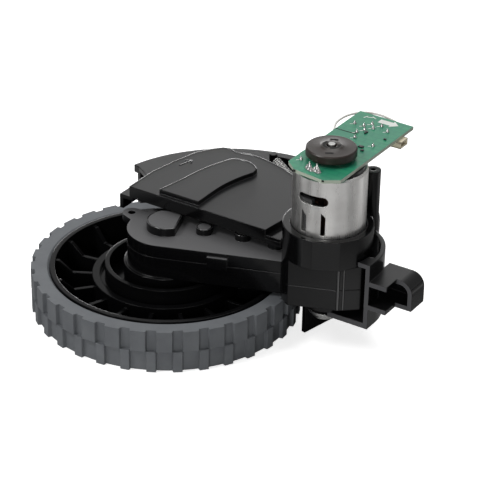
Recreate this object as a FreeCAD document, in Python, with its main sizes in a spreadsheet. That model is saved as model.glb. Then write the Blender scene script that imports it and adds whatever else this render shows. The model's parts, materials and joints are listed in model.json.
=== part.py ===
import FreeCAD, Part
import Sketcher
import math
import os

from FreeCAD import Placement, Rotation, Vector

# Drive wheel module of a robot vacuum, in millimetres.
# The origin is the wheel's axis on the plane that the tyre's outer face lies on.
# +X runs along the fender's straight front edge towards the motor, +Z is up.

os.makedirs("parts", exist_ok=True)
doc = FreeCAD.newDocument("wheel_module")
sheet = doc.addObject("Spreadsheet::Sheet", "dims")
aliases = []


def dim(alias, value, note):
    """Write one driving size in the sheet under its own name."""
    aliases.append(alias)
    row = len(aliases)
    sheet.set("A%d" % row, alias)
    sheet.set("B%d" % row, str(value))
    sheet.setAlias("B%d" % row, alias)
    sheet.set("C%d" % row, note)


# Wheel
dim("wheel_radius", 40.0, "axis to lug tip")
dim("lug_height", 1.06, "lug tip to tread base")
dim("lug_count", 33, "lugs in each of the two rows")
dim("lug_low_width", 3.2, "tangential width of a lug in the lower row")
dim("lug_top_width", 5.0, "tangential width of a lug in the upper row")
dim("lug_phase", -39.9, "direction of one lower lug")
dim("tyre_width", 13.07, "tyre along its axis")
dim("tyre_depth", 5.5, "lug tip to the hub's seat")
dim("tyre_edge", 0.8, "chamfer of the bore's upper edge")
dim("hub_rise", 0.13, "rim top above the tyre")
dim("rim_wall", 1.5, "radial wall of the rim")
dim("web_bottom", 1.4, "underside of the web")
dim("web_top", 3.0, "web floor between the ribs")
dim("rib_count", 17, "ribs between ring and rim")
dim("rib_width", 1.2, "thickness of a rib")
dim("rib_phase", 187.5, "direction of one rib")
dim("rib_high", 12.3, "rib top beside the rim")
dim("rib_low", 8.5, "rib top beside the ring")
dim("rib_shelf", 1.0, "length of the rib's high shelf inside the rim")
dim("rib_slope", 4.0, "length of the rib's slope from high to low")
dim("ring_outer", 22.0, "raised ring, outer radius")
dim("ring_inner", 19.8, "raised ring, inner radius")
dim("ring_top", 10.2, "raised ring, top")
dim("cup_rim", 18.2, "hub cup, outer radius")
dim("cup_wall", 1.4, "hub cup, wall")
dim("cup_top", 13.9, "hub cup, top")
dim("cup_floor", 8.7, "hub cup, floor")
dim("cup_floor_wall", 1.5, "hub cup, floor thickness")
dim("hub_boss", 7.4, "centre boss radius")
dim("hub_recess", 4.6, "radius of the recess for the hub screw")
dim("hub_recess_top", 3.2, "ceiling of that recess")
dim("screw_head", 3.6, "radius of the screw heads")
dim("screw_head_height", 1.6, "height of a screw head")

# Fits
dim("fit_gap", 0.03, "radial gap of pressed and keyed fits")
dim("run_gap", 0.06, "radial gap of running fits")
dim("part_gap", 0.3, "gap between faces that only pass each other")

# Gear train
dim("motor_x", 49.4, "motor and swing axis")
dim("motor_y", 8.9, "motor and swing axis")
dim("output_teeth", 26, "teeth of the wheel's gear")
dim("output_module", 0.6, "module of the last stage")
dim("train_module", 0.5, "module of the other stages")
dim("fourth_pinion", 12, "teeth")
dim("fourth_wheel", 33, "teeth")
dim("third_pinion", 14, "teeth")
dim("third_wheel", 30, "teeth")
dim("second_pinion", 12, "teeth")
dim("second_wheel", 25, "teeth")
dim("first_pinion", 11, "teeth")
dim("first_wheel", 26, "teeth")
dim("motor_pinion", 10, "teeth")
dim("fourth_dir", 19.08, "direction from the output axis to the fourth gear")
dim("third_dir", 16.87, "direction from the fourth gear to the third")
dim("second_dir", 7.56, "direction from the third gear to the second")
dim("gear_width", 2.5, "face width of a gear")
dim("gear_space", 0.2, "space between gear levels")
dim("addendum", 0.75, "tooth height above the pitch circle, in modules")
dim("dedendum", 1.15, "tooth depth below the pitch circle, in modules")
dim("backlash", 0.1, "thinning of each tooth, in modules")
dim("pin_radius", 1.0, "gear pins")
dim("gear_neck", 1.7, "radius of a gear's spacer neck")
dim("output_radius", 3.0, "output shaft in its bearings")
dim("output_top_radius", 2.0, "output shaft in its gear")
dim("bearing_wall", 1.6, "wall of the output bearings")
dim("bearing_length", 3.0, "length of each output bearing")

# Swing arm
dim("arm_bottom", 14.5, "underside of the gearbox")
dim("arm_floor", 1.1, "floor of the gearbox")
dim("arm_split", 21.1, "parting plane of case and cover")
dim("arm_top", 25.0, "top of the gearbox")
dim("arm_roof", 1.2, "roof of the gearbox")
dim("arm_wall", 1.4, "side wall of the gearbox")
dim("arm_end", 11.6, "outer radius of the round end")
dim("arm_waist", 2.9, "distance of the near wall's line from the motor's axis")
dim("gear_room", 0.35, "gap from gear tips to the wall")
dim("post_radius", 12.6, "end post in the hub's cup")
dim("post_bottom", 9.3, "underside of the end post")
dim("d_boss", 5.9, "radius of the D boss")
dim("d_flat", 3.7, "distance of its flat")
dim("d_flat_dir", 19.3, "direction that its flat faces")
dim("d_top", 27.6, "top of the D boss")
dim("pin_boss", 2.4, "radius of the pin bosses")
dim("pin_boss_top", 27.0, "top of the pin bosses")
dim("ear_x", -13.9, "ear hole")
dim("ear_y", 2.0, "ear hole")
dim("ear_radius", 2.8, "ear")
dim("ear_hole", 1.1, "ear hole radius")
dim("ear_height", 2.4, "ear thickness below the gearbox top")
dim("latch_start", 15.0, "latch clip on the near wall")
dim("latch_width", 6.0, "latch clip on the near wall")
dim("latch_proud", 0.8, "latch clip beyond the near wall")
dim("latch_below", 1.2, "latch clip below the parting plane")
dim("latch_above", 2.6, "latch clip above the parting plane")
dim("drum_radius", 13.0, "drum and ring about the motor")
dim("drum_flat", 8.8, "distance of the drum's flat front")
dim("drum_flat_dir", -68.8, "direction that it faces")
dim("drum_flat_right", 4.8, "right end of the flat from its middle")
dim("drum_side_dir", -10.0, "direction where the slanted side right of it ends")
dim("drum_top", 29.0, "top of the drum")
dim("ring_height", 9.0, "clamp ring above the drum")
dim("can_gap", 0.3, "gap from the can to the ring")
dim("lever_dir", 121.8, "direction of the spring lever")
dim("lever_reach", 25.4, "motor axis to the spring's lug")
dim("lever_width", 3.0, "width of the lever")
dim("lever_top", 25.0, "top of the lever")
dim("lever_height", 3.2, "thickness of the lever")
dim("lug_radius", 1.3, "spring lug and spring post")
dim("lug_top", 27.6, "top of lug and post")
dim("pivot_radius", 4.0, "pivot boss")
dim("pivot_shoulder", 6.5, "shoulder that rests on the base plate")
dim("washer_radius", 4.9, "pivot washer")
dim("washer_height", 0.8, "pivot washer")

# Motor
dim("can_radius", 10.6, "motor can")
dim("can_wall", 0.8, "can wall")
dim("can_top", 56.0, "top of the can")
dim("can_round", 0.5, "rounded edge of the can")
dim("window_bottom", 48.0, "wide window in the can")
dim("window_height", 2.9, "wide window in the can")
dim("window_start", -113.0, "direction where the window starts")
dim("window_span", 51.0, "angle that the window spans")
dim("slot_bottom", 39.0, "tall slots in the can")
dim("slot_height", 7.0, "tall slots in the can")
dim("slot_left_dir", -101.6, "left slot")
dim("slot_left_width", 1.8, "left slot")
dim("slot_right_dir", -68.8, "right slot")
dim("slot_right_width", 1.3, "right slot")
dim("shaft_radius", 1.0, "motor shaft")
dim("shaft_top", 62.6, "motor shaft")
dim("front_boss", 3.0, "front bearing boss of the can")
dim("front_boss_height", 1.2, "front bearing boss of the can")
dim("magnet_wall", 1.6, "field magnets")
dim("magnet_span", 140.0, "angle of each magnet")
dim("air_gap", 0.4, "magnets to armature")
dim("core_bottom", 32.5, "armature")
dim("core_height", 15.5, "armature")
dim("core_slots", 5, "slots of the armature")
dim("cap_height", 3.0, "motor end cap")
dim("cap_stand", 1.3, "end cap above the can")

# Encoder
dim("board_height", 1.0, "encoder board")
dim("board_left", 40.8, "left edge of the board")
dim("board_right", 58.7, "right edge of the board")
dim("board_back", 40.0, "rear edge of the board")
dim("board_front", 13.4, "front edge from the motor's axis")
dim("notch_y", 25.8, "break groove in the board")
dim("notch_length", 7.0, "break groove in the board")
dim("notch_depth", 0.3, "break groove in the board")
dim("disc_radius", 7.25, "encoder disc")
dim("disc_bottom", 59.2, "encoder disc")
dim("disc_height", 2.6, "encoder disc")
dim("disc_hub", 3.0, "raised hub of the disc")
dim("disc_hub_rise", 0.4, "raised hub of the disc")
dim("plug_y", 32.0, "centre of the connector")
dim("plug_width", 6.0, "connector along the edge")
dim("plug_depth", 4.6, "connector across the edge")
dim("plug_height", 4.2, "connector below the board")
dim("plug_proud", 1.5, "connector past the board's edge")
dim("plug_wall", 0.6, "connector wall")
dim("wire_radius", 0.35, "jumper wire")
dim("sensor_size", 1.8, "sensor under the disc")
dim("sensor_height", 0.6, "sensor under the disc")
dim("tab_width", 1.2, "motor terminal")
dim("tab_thick", 0.5, "motor terminal")
dim("tab_top", 60.6, "motor terminal")
dim("tab_gap", 2.4, "between the motor terminals' centres")

# Housing
dim("front_y", 4.3, "front cut of the housing")
dim("plate_top", 32.0, "fender plate")
dim("plate_height", 2.0, "fender plate")
dim("skirt_bottom", 28.2, "lower edge of the front skirt")
dim("wall", 1.3, "general wall of the housing")
dim("plate_left", -16.4, "left end of the plate")
dim("plate_right", 31.4, "right end of the plate's front edge")
dim("fender_room", 3.1, "wheel to the outer face of the rear wall")
dim("rear_low_dir", 58.0, "direction right of which the arm passes below the rear wall")
dim("rear_clear", 25.7, "lower edge of the rear wall over the arm")
dim("shoulder_out", 3.5, "shoulder beyond the plate")
dim("shoulder_top", 28.5, "shoulder")
dim("shoulder_bottom", 24.0, "lower edge of the shoulder's wall")
dim("bulge_rise", 1.4, "bulge above the plate")
dim("well_x", 4.0, "centre of the wheel well")
dim("well_y", 29.5, "centre of the wheel well")
dim("well_room", 2.0, "retracted wheel to the wheel well's wall")
dim("well_start", -5.0, "right end of the high wall")
dim("well_end", 167.0, "left end of the wall")
dim("fin_start", -12.0, "where the fin leaves the wall")
dim("fin_length", 13.0, "fin")
dim("fin_top", 9.0, "fin")
dim("low_top", 13.6, "wall below the arm")
dim("rail_top", 18.0, "bead rail and shelf")
dim("rail_height", 2.5, "bead rail")
dim("rail_out", 1.6, "bead rail beyond the wall")
dim("shelf_height", 1.5, "shelf")
dim("post_x", 2.5, "spring post")
dim("post_y", 55.0, "spring post")
dim("cup_radius", 15.2, "pivot cup, inside")
dim("cup_end", 82.0, "end of the tall cup wall")
dim("cup_join", 136.0, "end of the upper cup wall")
dim("housing_cup_top", 31.0, "pivot cup")
dim("base_bottom", 10.4, "base plate")
dim("base_top", 12.0, "base plate")
dim("screw_post_x", 53.9, "screw post")
dim("screw_post_y", 25.5, "screw post")
dim("screw_post_radius", 2.3, "screw post")
dim("screw_post_bore", 0.75, "screw post")
dim("screw_post_depth", 10.0, "screw post")
dim("screw_post_top", 49.0, "screw post")
dim("flange_reach", 5.6, "shelves of the bracket beyond its wall")
dim("bracket_depth", 5.8, "bracket from front to block")
dim("mid_shelf_top", 25.8, "middle shelf")
dim("low_shelf_top", 18.3, "lower shelf and the block's floor")
dim("flange_wall", 1.4, "shelves of the bracket")
dim("block_depth", 7.4, "block behind the shelves")
dim("block_reach", 10.7, "block beyond the wall")
dim("block_round", 4.0, "block's rounded corner")

# Spring
dim("spring_outer", 1.7, "outer radius of the swing spring")
dim("spring_wire", 0.45, "wire of the spring")
dim("spring_axis", 26.0, "height of the spring's axis")
dim("spring_end", 3.0, "hook at each end")

doc.recompute()


class Sizes:
    """The sheet's values as plain numbers."""


for name in aliases:
    setattr(Sizes, name, float(getattr(sheet, name)))
d = Sizes

pieces = []


def polar(radius, angle, centre=(0.0, 0.0)):
    """Return the point at a radius and direction from a centre."""
    turn = math.radians(angle)
    return (centre[0] + radius * math.cos(turn), centre[1] + radius * math.sin(turn))


def direction(start, end):
    """Return the direction in degrees from one point to another."""
    return math.degrees(math.atan2(end[1] - start[1], end[0] - start[0]))


def value(expression):
    """Return the number that an expression over the sheet stands for."""
    return float(sheet.evalExpression(expression))


def body(label, at=(0.0, 0.0), turn=0.0):
    """Start a sub-part at a place on the table plane."""
    made = doc.addObject("PartDesign::Body", label)
    made.Label = label
    made.Placement = Placement(Vector(at[0], at[1], 0), Rotation(Vector(0, 0, 1), turn))
    pieces.append(made)
    return made


def sketch(owner, offset="0", facing=None):
    """Attach a sketch to the body's floor plane, or to an upright plane that faces a direction."""
    role = "XY_Plane" if facing is None else "XZ_Plane"
    plane = next(part for part in owner.Origin.OriginFeatures if part.Role == role)
    made = owner.newObject("Sketcher::SketchObject", owner.Label + "_sketch")
    made.AttachmentSupport = [(plane, "")]
    made.MapMode = "FlatFace"
    if facing is not None:
        turn = Rotation(Vector(0, 1, 0), facing + 90)
        made.AttachmentOffset = Placement(turn.multVec(Vector(0, 0, 0)), turn)
    if facing is None:
        made.setExpression("AttachmentOffset.Base.z", offset)
    return made


def circle(target, radius, at=(0.0, 0.0)):
    """Add a circle whose radius follows an expression."""
    ring = Part.Circle(Vector(at[0], at[1], 0), Vector(0, 0, 1), value(radius))
    index = target.addGeometry(ring, False)
    bound = target.addConstraint(Sketcher.Constraint("Radius", index, value(radius)))
    target.setExpression("Constraints[%d]" % bound, radius)
    return target


def outline(target, points):
    """Add a closed outline; a point marked with a third item is passed through by an arc."""
    vectors = [(Vector(p[0], p[1], 0), len(p) > 2) for p in points]
    vectors.append(vectors[0])
    index = 0
    edges = []
    while index < len(vectors) - 1:
        start = vectors[index][0]
        if vectors[index + 1][1]:
            edges.append(Part.Arc(start, vectors[index + 1][0], vectors[index + 2][0]))
            index += 2
        else:
            edges.append(Part.LineSegment(start, vectors[index + 1][0]))
            index += 1
    target.addGeometry(edges, False)
    return target


def feature(kind, target, length, flip=False):
    """Pad or pocket a sketch over a length that follows an expression."""
    owner = target.getParentGeoFeatureGroup()
    made = owner.newObject("PartDesign::" + kind, owner.Label + "_" + kind.lower())
    made.Profile = target
    made.setExpression("Length", length)
    made.Reversed = flip
    owner.Tip = made
    target.Visibility = False
    return made


def pad(target, length, flip=False):
    """Raise a sketch along its normal."""
    return feature("Pad", target, length, flip)


def pocket(target, length, flip=False):
    """Cut a sketch against its normal, or along it when flipped."""
    return feature("Pocket", target, length, flip)


def spin(target, kind="Revolution", angle=360.0):
    """Turn an upright sketch about the body's vertical axis."""
    owner = target.getParentGeoFeatureGroup()
    made = owner.newObject("PartDesign::" + kind, owner.Label + "_" + kind.lower())
    made.Profile = target
    made.ReferenceAxis = (target, ["V_Axis"])
    made.Angle = angle
    owner.Tip = made
    return made


def repeat(originals, count):
    """Repeat features about the body's vertical axis."""
    owner = originals[0].getParentGeoFeatureGroup()
    made = owner.newObject("PartDesign::PolarPattern", owner.Label + "_pattern")
    made.Originals = originals
    axis = next(part for part in owner.Origin.OriginFeatures if part.Role == "Z_Axis")
    made.Axis = (axis, [""])
    made.Angle = 360
    made.setExpression("Occurrences", count)
    owner.Tip = made
    return made


def round_piece(label, at, steps, bore=None):
    """Make a turned piece from stacked cylinders, each a bottom, a height and a radius."""
    made = body(label, at)
    for bottom, height, radius in steps:
        pad(circle(sketch(made, bottom), radius), height)
    if bore is not None:
        total = " + ".join("(%s)" % step[1] for step in steps)
        pocket(circle(sketch(made, steps[0][0]), bore), total, flip=True)
    return made


def belt(circles):
    """Return the outline round circles given counter-clockwise, as lines and arcs."""
    points = []
    count = len(circles)
    leaving = []
    for index in range(count):
        x0, y0, r0 = circles[index]
        x1, y1, r1 = circles[(index + 1) % count]
        reach = math.hypot(x1 - x0, y1 - y0)
        lean = math.degrees(math.acos((r0 - r1) / reach))
        leaving.append(direction((x0, y0), (x1, y1)) - lean)
    for index in range(count):
        x, y, r = circles[index]
        first = leaving[index - 1]
        last = leaving[index]
        while last < first:
            last += 360
        points.append(polar(r, first, (x, y)))
        points.append(polar(r, (first + last) / 2, (x, y)) + ("arc",))
        points.append(polar(r, last, (x, y)))
    return points


def band(radius_in, radius_out, first, last, centre=(0.0, 0.0)):
    """Return the outline of a curved wall between two directions."""
    middle = (first + last) / 2
    return [
        polar(radius_in, first, centre),
        polar(radius_out, first, centre),
        polar(radius_out, middle, centre) + ("arc",),
        polar(radius_out, last, centre),
        polar(radius_in, last, centre),
        polar(radius_in, middle, centre) + ("arc",),
    ]


def disc_with_flat(radius, flat, facing, centre):
    """Return the outline of a disc with one flat that faces a direction."""
    half = math.degrees(math.acos(flat / radius))
    return [
        polar(radius, facing + half, centre),
        polar(radius, facing + 180, centre) + ("arc",),
        polar(radius, facing - half, centre),
    ]


def box(target, x0, x1, y0, y1):
    """Add a rectangle."""
    return outline(target, [(x0, y0), (x1, y0), (x1, y1), (x0, y1)])


# Places of the gear axes
output_axis = (0.0, 0.0)
swing_axis = (d.motor_x, d.motor_y)


def pitch(teeth, module):
    """Return a pitch radius."""
    return teeth * module / 2


mesh_fourth = pitch(d.output_teeth + d.fourth_pinion, d.output_module)
mesh_third = pitch(d.fourth_wheel + d.third_pinion, d.train_module)
mesh_second = pitch(d.third_wheel + d.second_pinion, d.train_module)
mesh_first = pitch(d.second_wheel + d.first_pinion, d.train_module)
mesh_motor = pitch(d.first_wheel + d.motor_pinion, d.train_module)
fourth_axis = polar(mesh_fourth, d.fourth_dir)
third_axis = polar(mesh_third, d.third_dir, fourth_axis)
second_axis = polar(mesh_second, d.second_dir, third_axis)
span = math.dist(second_axis, swing_axis)
corner = math.acos((mesh_first**2 + span**2 - mesh_motor**2) / (2 * mesh_first * span))
first_axis = polar(mesh_first, direction(second_axis, swing_axis) + math.degrees(corner), second_axis)

level_a = "(dims.arm_bottom + dims.arm_floor + dims.gear_space)"
level_b = "(%s + dims.gear_width + dims.gear_space)" % level_a
level_c = "(%s + dims.gear_width + dims.gear_space)" % level_b


def flank(teeth, module, radius):
    """Return half the angle that an involute tooth takes at a radius."""
    pitch_radius = pitch(teeth, module)
    base = pitch_radius * math.cos(math.radians(20))
    half = (math.pi / 2 - d.backlash) * module / (2 * pitch_radius)
    at_pitch = math.tan(math.radians(20)) - math.radians(20)
    lean = math.acos(min(1.0, base / radius))
    return math.degrees(half + at_pitch - (math.tan(lean) - lean))


def gear(owner, teeth, module, bottom, phase):
    """Add one spur gear: a root disc and a ring of teeth whose flanks are chords of involutes."""
    count = int(getattr(d, teeth))
    size = getattr(d, module)
    pitch_radius = pitch(count, size)
    tip = pitch_radius + d.addendum * size
    root = pitch_radius - d.dedendum * size
    root_radius = "dims.%s * dims.%s / 2 - dims.dedendum * dims.%s" % (teeth, module, module)
    pad(circle(sketch(owner, bottom), root_radius), "dims.gear_width")
    at_pitch = flank(count, size, pitch_radius)
    at_tip = flank(count, size, tip)
    foot = at_pitch + (at_pitch - at_tip) * (pitch_radius - root) / (tip - pitch_radius)
    spots = [(root * 0.97, min(foot, 150 / count)), (tip, at_tip)]
    tooth = [polar(radius, phase - half) for radius, half in spots]
    tooth += [polar(radius, phase + half) for radius, half in reversed(spots)]
    first = pad(outline(sketch(owner, bottom), tooth), "dims.gear_width")
    repeat([first], "dims." + teeth)


def mesh_phase(heading, teeth, phase, next_teeth):
    """Return the tooth direction that meshes with a neighbour of known phase."""
    part_of_pitch = (heading - phase) / (360.0 / teeth)
    return heading + 180 + (part_of_pitch - 0.5) * 360.0 / next_teeth


fourth_phase = mesh_phase(direction(output_axis, fourth_axis), d.output_teeth, 0.0, d.fourth_pinion)
third_phase = mesh_phase(direction(fourth_axis, third_axis), d.fourth_wheel, fourth_phase,
                         d.third_pinion)
second_phase = mesh_phase(direction(third_axis, second_axis), d.third_wheel, third_phase,
                          d.second_pinion)
first_phase = mesh_phase(direction(second_axis, first_axis), d.second_wheel, second_phase,
                         d.first_pinion)
motor_phase = mesh_phase(direction(first_axis, swing_axis), d.first_wheel, first_phase,
                         d.motor_pinion)

# Tyre: a plain ring with two staggered rows of block lugs
tread = d.wheel_radius - d.lug_height
tyre_bore = d.wheel_radius - d.tyre_depth
tyre = body("tyre", turn=d.lug_phase)
spin(outline(sketch(tyre, facing=-90), [
    (tyre_bore, 0),
    (tread, 0),
    (tread, d.tyre_width),
    (tyre_bore + d.tyre_edge, d.tyre_width),
    (tyre_bore, d.tyre_width - d.tyre_edge),
]))


def lug(owner, bottom, width, heading):
    """Add one tread lug, a block that narrows to its tip, at a direction."""
    half = width / 2
    crest = half - d.lug_height / 4
    along = [(tread - 1, -half), (d.wheel_radius, -crest), (d.wheel_radius, crest), (tread - 1, half)]
    turned = [polar(math.hypot(x, y), heading + direction((0, 0), (x, y))) for x, y in along]
    return pad(outline(sketch(owner, bottom), turned), "dims.tyre_width / 2")


low_lug = lug(tyre, "0", d.lug_low_width, 0.0)
repeat([low_lug], "dims.lug_count")
top_lug = lug(tyre, "dims.tyre_width / 2", d.lug_top_width, 180.0 / d.lug_count)
repeat([top_lug], "dims.lug_count")

# Hub: rim, ribbed web, raised ring and the cup that takes the arm's end post
hub = body("wheel_hub", turn=d.rib_phase)
rim_outer = tyre_bore - d.fit_gap
rim_inner = rim_outer - d.rim_wall
rim_top = d.tyre_width + d.hub_rise
cup_inner = d.cup_rim - d.cup_wall
bore = d.output_radius + d.fit_gap
spin(outline(sketch(hub, facing=-90), [
    (d.hub_recess, d.hub_recess_top),
    (d.hub_recess, d.web_bottom),
    (d.hub_boss, d.web_bottom),
    (d.hub_boss, d.cup_floor - d.cup_floor_wall),
    (cup_inner, d.cup_floor - d.cup_floor_wall),
    (cup_inner, d.web_bottom),
    (rim_outer, d.web_bottom),
    (rim_outer, rim_top),
    (rim_inner, rim_top),
    (rim_inner, d.web_top),
    (d.ring_outer, d.web_top),
    (d.ring_outer, d.ring_top),
    (d.ring_inner, d.ring_top),
    (d.ring_inner, d.rib_low),
    (d.cup_rim, d.rib_low),
    (d.cup_rim, d.cup_top),
    (cup_inner, d.cup_top),
    (cup_inner, d.cup_floor),
    (bore, d.cup_floor),
    (bore, d.hub_recess_top),
]))
shelf_end = rim_inner - d.rib_shelf
rib = sketch(hub, facing=-90)
rib.AttachmentOffset = Placement(Vector(0, 0, -d.rib_width / 2), Rotation())
outline(rib, [
    (d.ring_outer - 1, d.web_top - 1),
    (rim_inner + 0.5, d.web_top - 1),
    (rim_inner + 0.5, d.rib_high),
    (shelf_end, d.rib_high),
    (shelf_end - d.rib_slope, d.rib_low),
    (d.ring_outer - 1, d.rib_low),
])
repeat([pad(rib, "dims.rib_width")], "dims.rib_count")

# Output shaft, its gear and bearings, and the screw that holds the hub
shaft_foot = "dims.hub_recess_top"
output_step = level_b
round_piece("output_shaft", output_axis, [
    (shaft_foot, "%s - dims.hub_recess_top" % output_step, "dims.output_radius"),
    (output_step, "dims.arm_top - %s" % output_step, "dims.output_top_radius"),
])
output_gear = body("output_gear")
gear(output_gear, "output_teeth", "output_module", level_b, 0.0)
pocket(circle(sketch(output_gear, level_b), "dims.output_top_radius + dims.fit_gap"),
       "dims.gear_width", flip=True)
bearing_outer = "dims.output_radius + dims.run_gap + dims.bearing_wall"
bearing_top = "(%s - dims.gear_space - dims.bearing_length)" % level_b
for label, bottom in (("output_bearing_lower", "dims.post_bottom"),
                      ("output_bearing_upper", bearing_top)):
    round_piece(label, output_axis, [(bottom, "dims.bearing_length", bearing_outer)],
                "dims.output_radius + dims.run_gap")
round_piece("hub_screw", output_axis, [
    ("dims.hub_recess_top - dims.screw_head_height", "dims.screw_head_height", "dims.screw_head"),
])

# Compound gears on their pins
train = [
    ("gear_fourth", fourth_axis, fourth_phase, "fourth_pinion", level_b, "output_module",
     "fourth_wheel", level_c),
    ("gear_third", third_axis, third_phase, "third_pinion", level_c, "train_module",
     "third_wheel", level_a),
    ("gear_second", second_axis, second_phase, "second_pinion", level_a, "train_module",
     "second_wheel", level_b),
    ("gear_first", first_axis, first_phase, "first_pinion", level_b, "train_module",
     "first_wheel", level_c),
]
for label, axis, phase, small, small_level, small_module, large, large_level in train:
    compound = body(label, axis)
    low, high = sorted((small_level, large_level), key=value)
    pad(circle(sketch(compound, low), "dims.gear_neck"), "%s + dims.gear_width - %s" % (high, low))
    gear(compound, large, "train_module", large_level, phase)
    gear(compound, small, small_module, small_level, phase)
    pocket(circle(sketch(compound, low), "dims.pin_radius + dims.run_gap"),
           "%s + dims.gear_width - %s" % (high, low), flip=True)
    round_piece(label.replace("gear_", "pin_"), axis, [
        ("dims.arm_bottom + dims.arm_floor", "dims.arm_top - dims.arm_roof - dims.arm_bottom"
         " - dims.arm_floor", "dims.pin_radius"),
    ])

# Gearbox outline: round end over the wheel, straight near wall, room for the gears behind
roof = "(dims.arm_top - dims.arm_roof)"
cavity_floor = "(dims.arm_bottom + dims.arm_floor)"
tip_third = pitch(d.third_wheel, d.train_module) + d.addendum * d.train_module
tip_first = pitch(d.first_wheel, d.train_module) + d.addendum * d.train_module


def arm_belt(shrink):
    """Return the gearbox outline, moved inwards by the wall for its cavity."""
    around = d.arm_wall + d.gear_room - shrink
    return belt([
        (0.0, 0.0, d.arm_end - shrink),
        swing_axis + (d.arm_waist - shrink,),
        first_axis + (tip_first + around,),
        third_axis + (tip_third + around,),
    ])


def drum_outline():
    """Return the drum under the motor, with a flat front and a slanted side right of it."""
    half = math.degrees(math.acos(d.drum_flat / d.drum_radius))
    flat_middle = polar(d.drum_flat, d.drum_flat_dir, swing_axis)
    return [
        polar(d.drum_flat_right, d.drum_flat_dir + 90, flat_middle),
        polar(d.drum_radius, d.drum_side_dir, swing_axis),
        polar(d.drum_radius, d.drum_flat_dir + 180, swing_axis) + ("arc",),
        polar(d.drum_radius, d.drum_flat_dir - half, swing_axis),
    ]


def arm_solid(owner, bottom, height):
    """Pad the gearbox outline with the drum under the motor."""
    pad(outline(sketch(owner, bottom), arm_belt(0.0)), height)
    pad(outline(sketch(owner, bottom), drum_outline()), height)


case = body("gearbox_case")
arm_solid(case, "dims.arm_bottom", "dims.arm_split - dims.arm_bottom")
pad(circle(sketch(case, "dims.post_bottom"), "dims.post_radius"), "dims.arm_bottom - dims.post_bottom")
shoulder_low = "(dims.base_top + dims.run_gap)"
pad(circle(sketch(case, shoulder_low), "dims.pivot_shoulder", swing_axis),
    "dims.arm_bottom - %s" % shoulder_low)
pivot_low = "(dims.base_bottom - dims.run_gap)"
pad(circle(sketch(case, pivot_low), "dims.pivot_radius", swing_axis),
    "dims.arm_bottom - %s" % pivot_low)
pocket(outline(sketch(case, cavity_floor), arm_belt(d.arm_wall)),
       "dims.arm_split - %s" % cavity_floor, flip=True)
boss_top = "(%s - dims.gear_space)" % level_b
pad(circle(sketch(case, cavity_floor), bearing_outer + " + dims.arm_wall"),
    "%s - %s" % (boss_top, cavity_floor))
pocket(circle(sketch(case, "dims.post_bottom"), "dims.output_radius + dims.part_gap"),
       "%s - dims.post_bottom" % boss_top, flip=True)
seat_radius = bearing_outer + " + dims.fit_gap"
pocket(circle(sketch(case, "dims.post_bottom"), seat_radius), "dims.bearing_length", flip=True)
pocket(circle(sketch(case, bearing_top), seat_radius), "dims.bearing_length", flip=True)
screw_low = "(%s - dims.washer_height)" % pivot_low

cover = body("gearbox_cover")
arm_solid(cover, "dims.arm_split", "dims.arm_top - dims.arm_split")
pad(outline(sketch(cover, "dims.arm_top"), drum_outline()), "dims.drum_top - dims.arm_top")
facets = [polar(d.drum_radius, angle, swing_axis) for angle in (-93, -80, -44, -19)]
facets.append(polar(d.drum_radius, 124, swing_axis) + ("arc",))
pad(outline(sketch(cover, "dims.drum_top"), facets), "dims.ring_height")
d_line = disc_with_flat(d.d_boss, d.d_flat, d.d_flat_dir, output_axis)
pad(outline(sketch(cover, "dims.arm_top"), d_line), "dims.d_top - dims.arm_top")
near_dir = direction(output_axis, swing_axis) - math.degrees(
    math.acos((d.arm_end - d.arm_waist) / math.dist(output_axis, swing_axis)))


def beside(run, out):
    """Return the point at a run along the near wall and a distance out from it."""
    return polar(run, near_dir + 90, polar(d.arm_end + out, near_dir))


latch_end = d.latch_start + d.latch_width
for bottom, height, inner in (("dims.arm_split", "dims.latch_above", -0.5),
                              ("dims.arm_split - dims.latch_below", "dims.latch_below", d.run_gap)):
    pad(outline(sketch(cover, bottom), [
        beside(d.latch_start, inner),
        beside(d.latch_start, d.latch_proud),
        beside(latch_end, d.latch_proud),
        beside(latch_end, inner),
    ]), height)
for axis in (fourth_axis, third_axis, second_axis):
    pad(circle(sketch(cover, "dims.arm_top"), "dims.pin_boss", axis),
        "dims.pin_boss_top - dims.arm_top")
ear_line = belt([(d.ear_x, d.ear_y, d.ear_radius), (0.0, 0.0, d.arm_end / 2)])
ear_bottom = "(dims.arm_top - dims.ear_height)"
pad(outline(sketch(cover, ear_bottom), ear_line), "dims.ear_height")
lug_place = polar(d.lever_reach, d.lever_dir, swing_axis)
lever_line = belt([swing_axis + (d.lever_width / 2,), lug_place + (d.lever_width / 2 + 0.001,)])
pad(outline(sketch(cover, "dims.lever_top - dims.lever_height"), lever_line), "dims.lever_height")
pad(circle(sketch(cover, "dims.lever_top"), "dims.lug_radius", lug_place),
    "dims.lug_top - dims.lever_top")
pocket(outline(sketch(cover, "dims.arm_split"), arm_belt(d.arm_wall)),
       "%s - dims.arm_split" % roof, flip=True)
pocket(circle(sketch(cover, "dims.drum_top"), "dims.can_radius + dims.can_gap", swing_axis),
       "dims.ring_height", flip=True)
pocket(circle(sketch(cover, "dims.arm_split"), "dims.drum_flat - dims.arm_wall", swing_axis),
       "dims.drum_top - dims.arm_roof - dims.arm_split", flip=True)
pocket(circle(sketch(cover, "dims.arm_split"), "dims.front_boss + dims.part_gap", swing_axis),
       "dims.drum_top - dims.arm_split", flip=True)
pocket(circle(sketch(cover, "dims.arm_split"), "dims.output_top_radius + dims.run_gap"),
       "dims.arm_top + dims.part_gap - dims.arm_split", flip=True)
pocket(circle(sketch(cover, ear_bottom), "dims.ear_hole", (d.ear_x, d.ear_y)),
       "dims.ear_height", flip=True)
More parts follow.
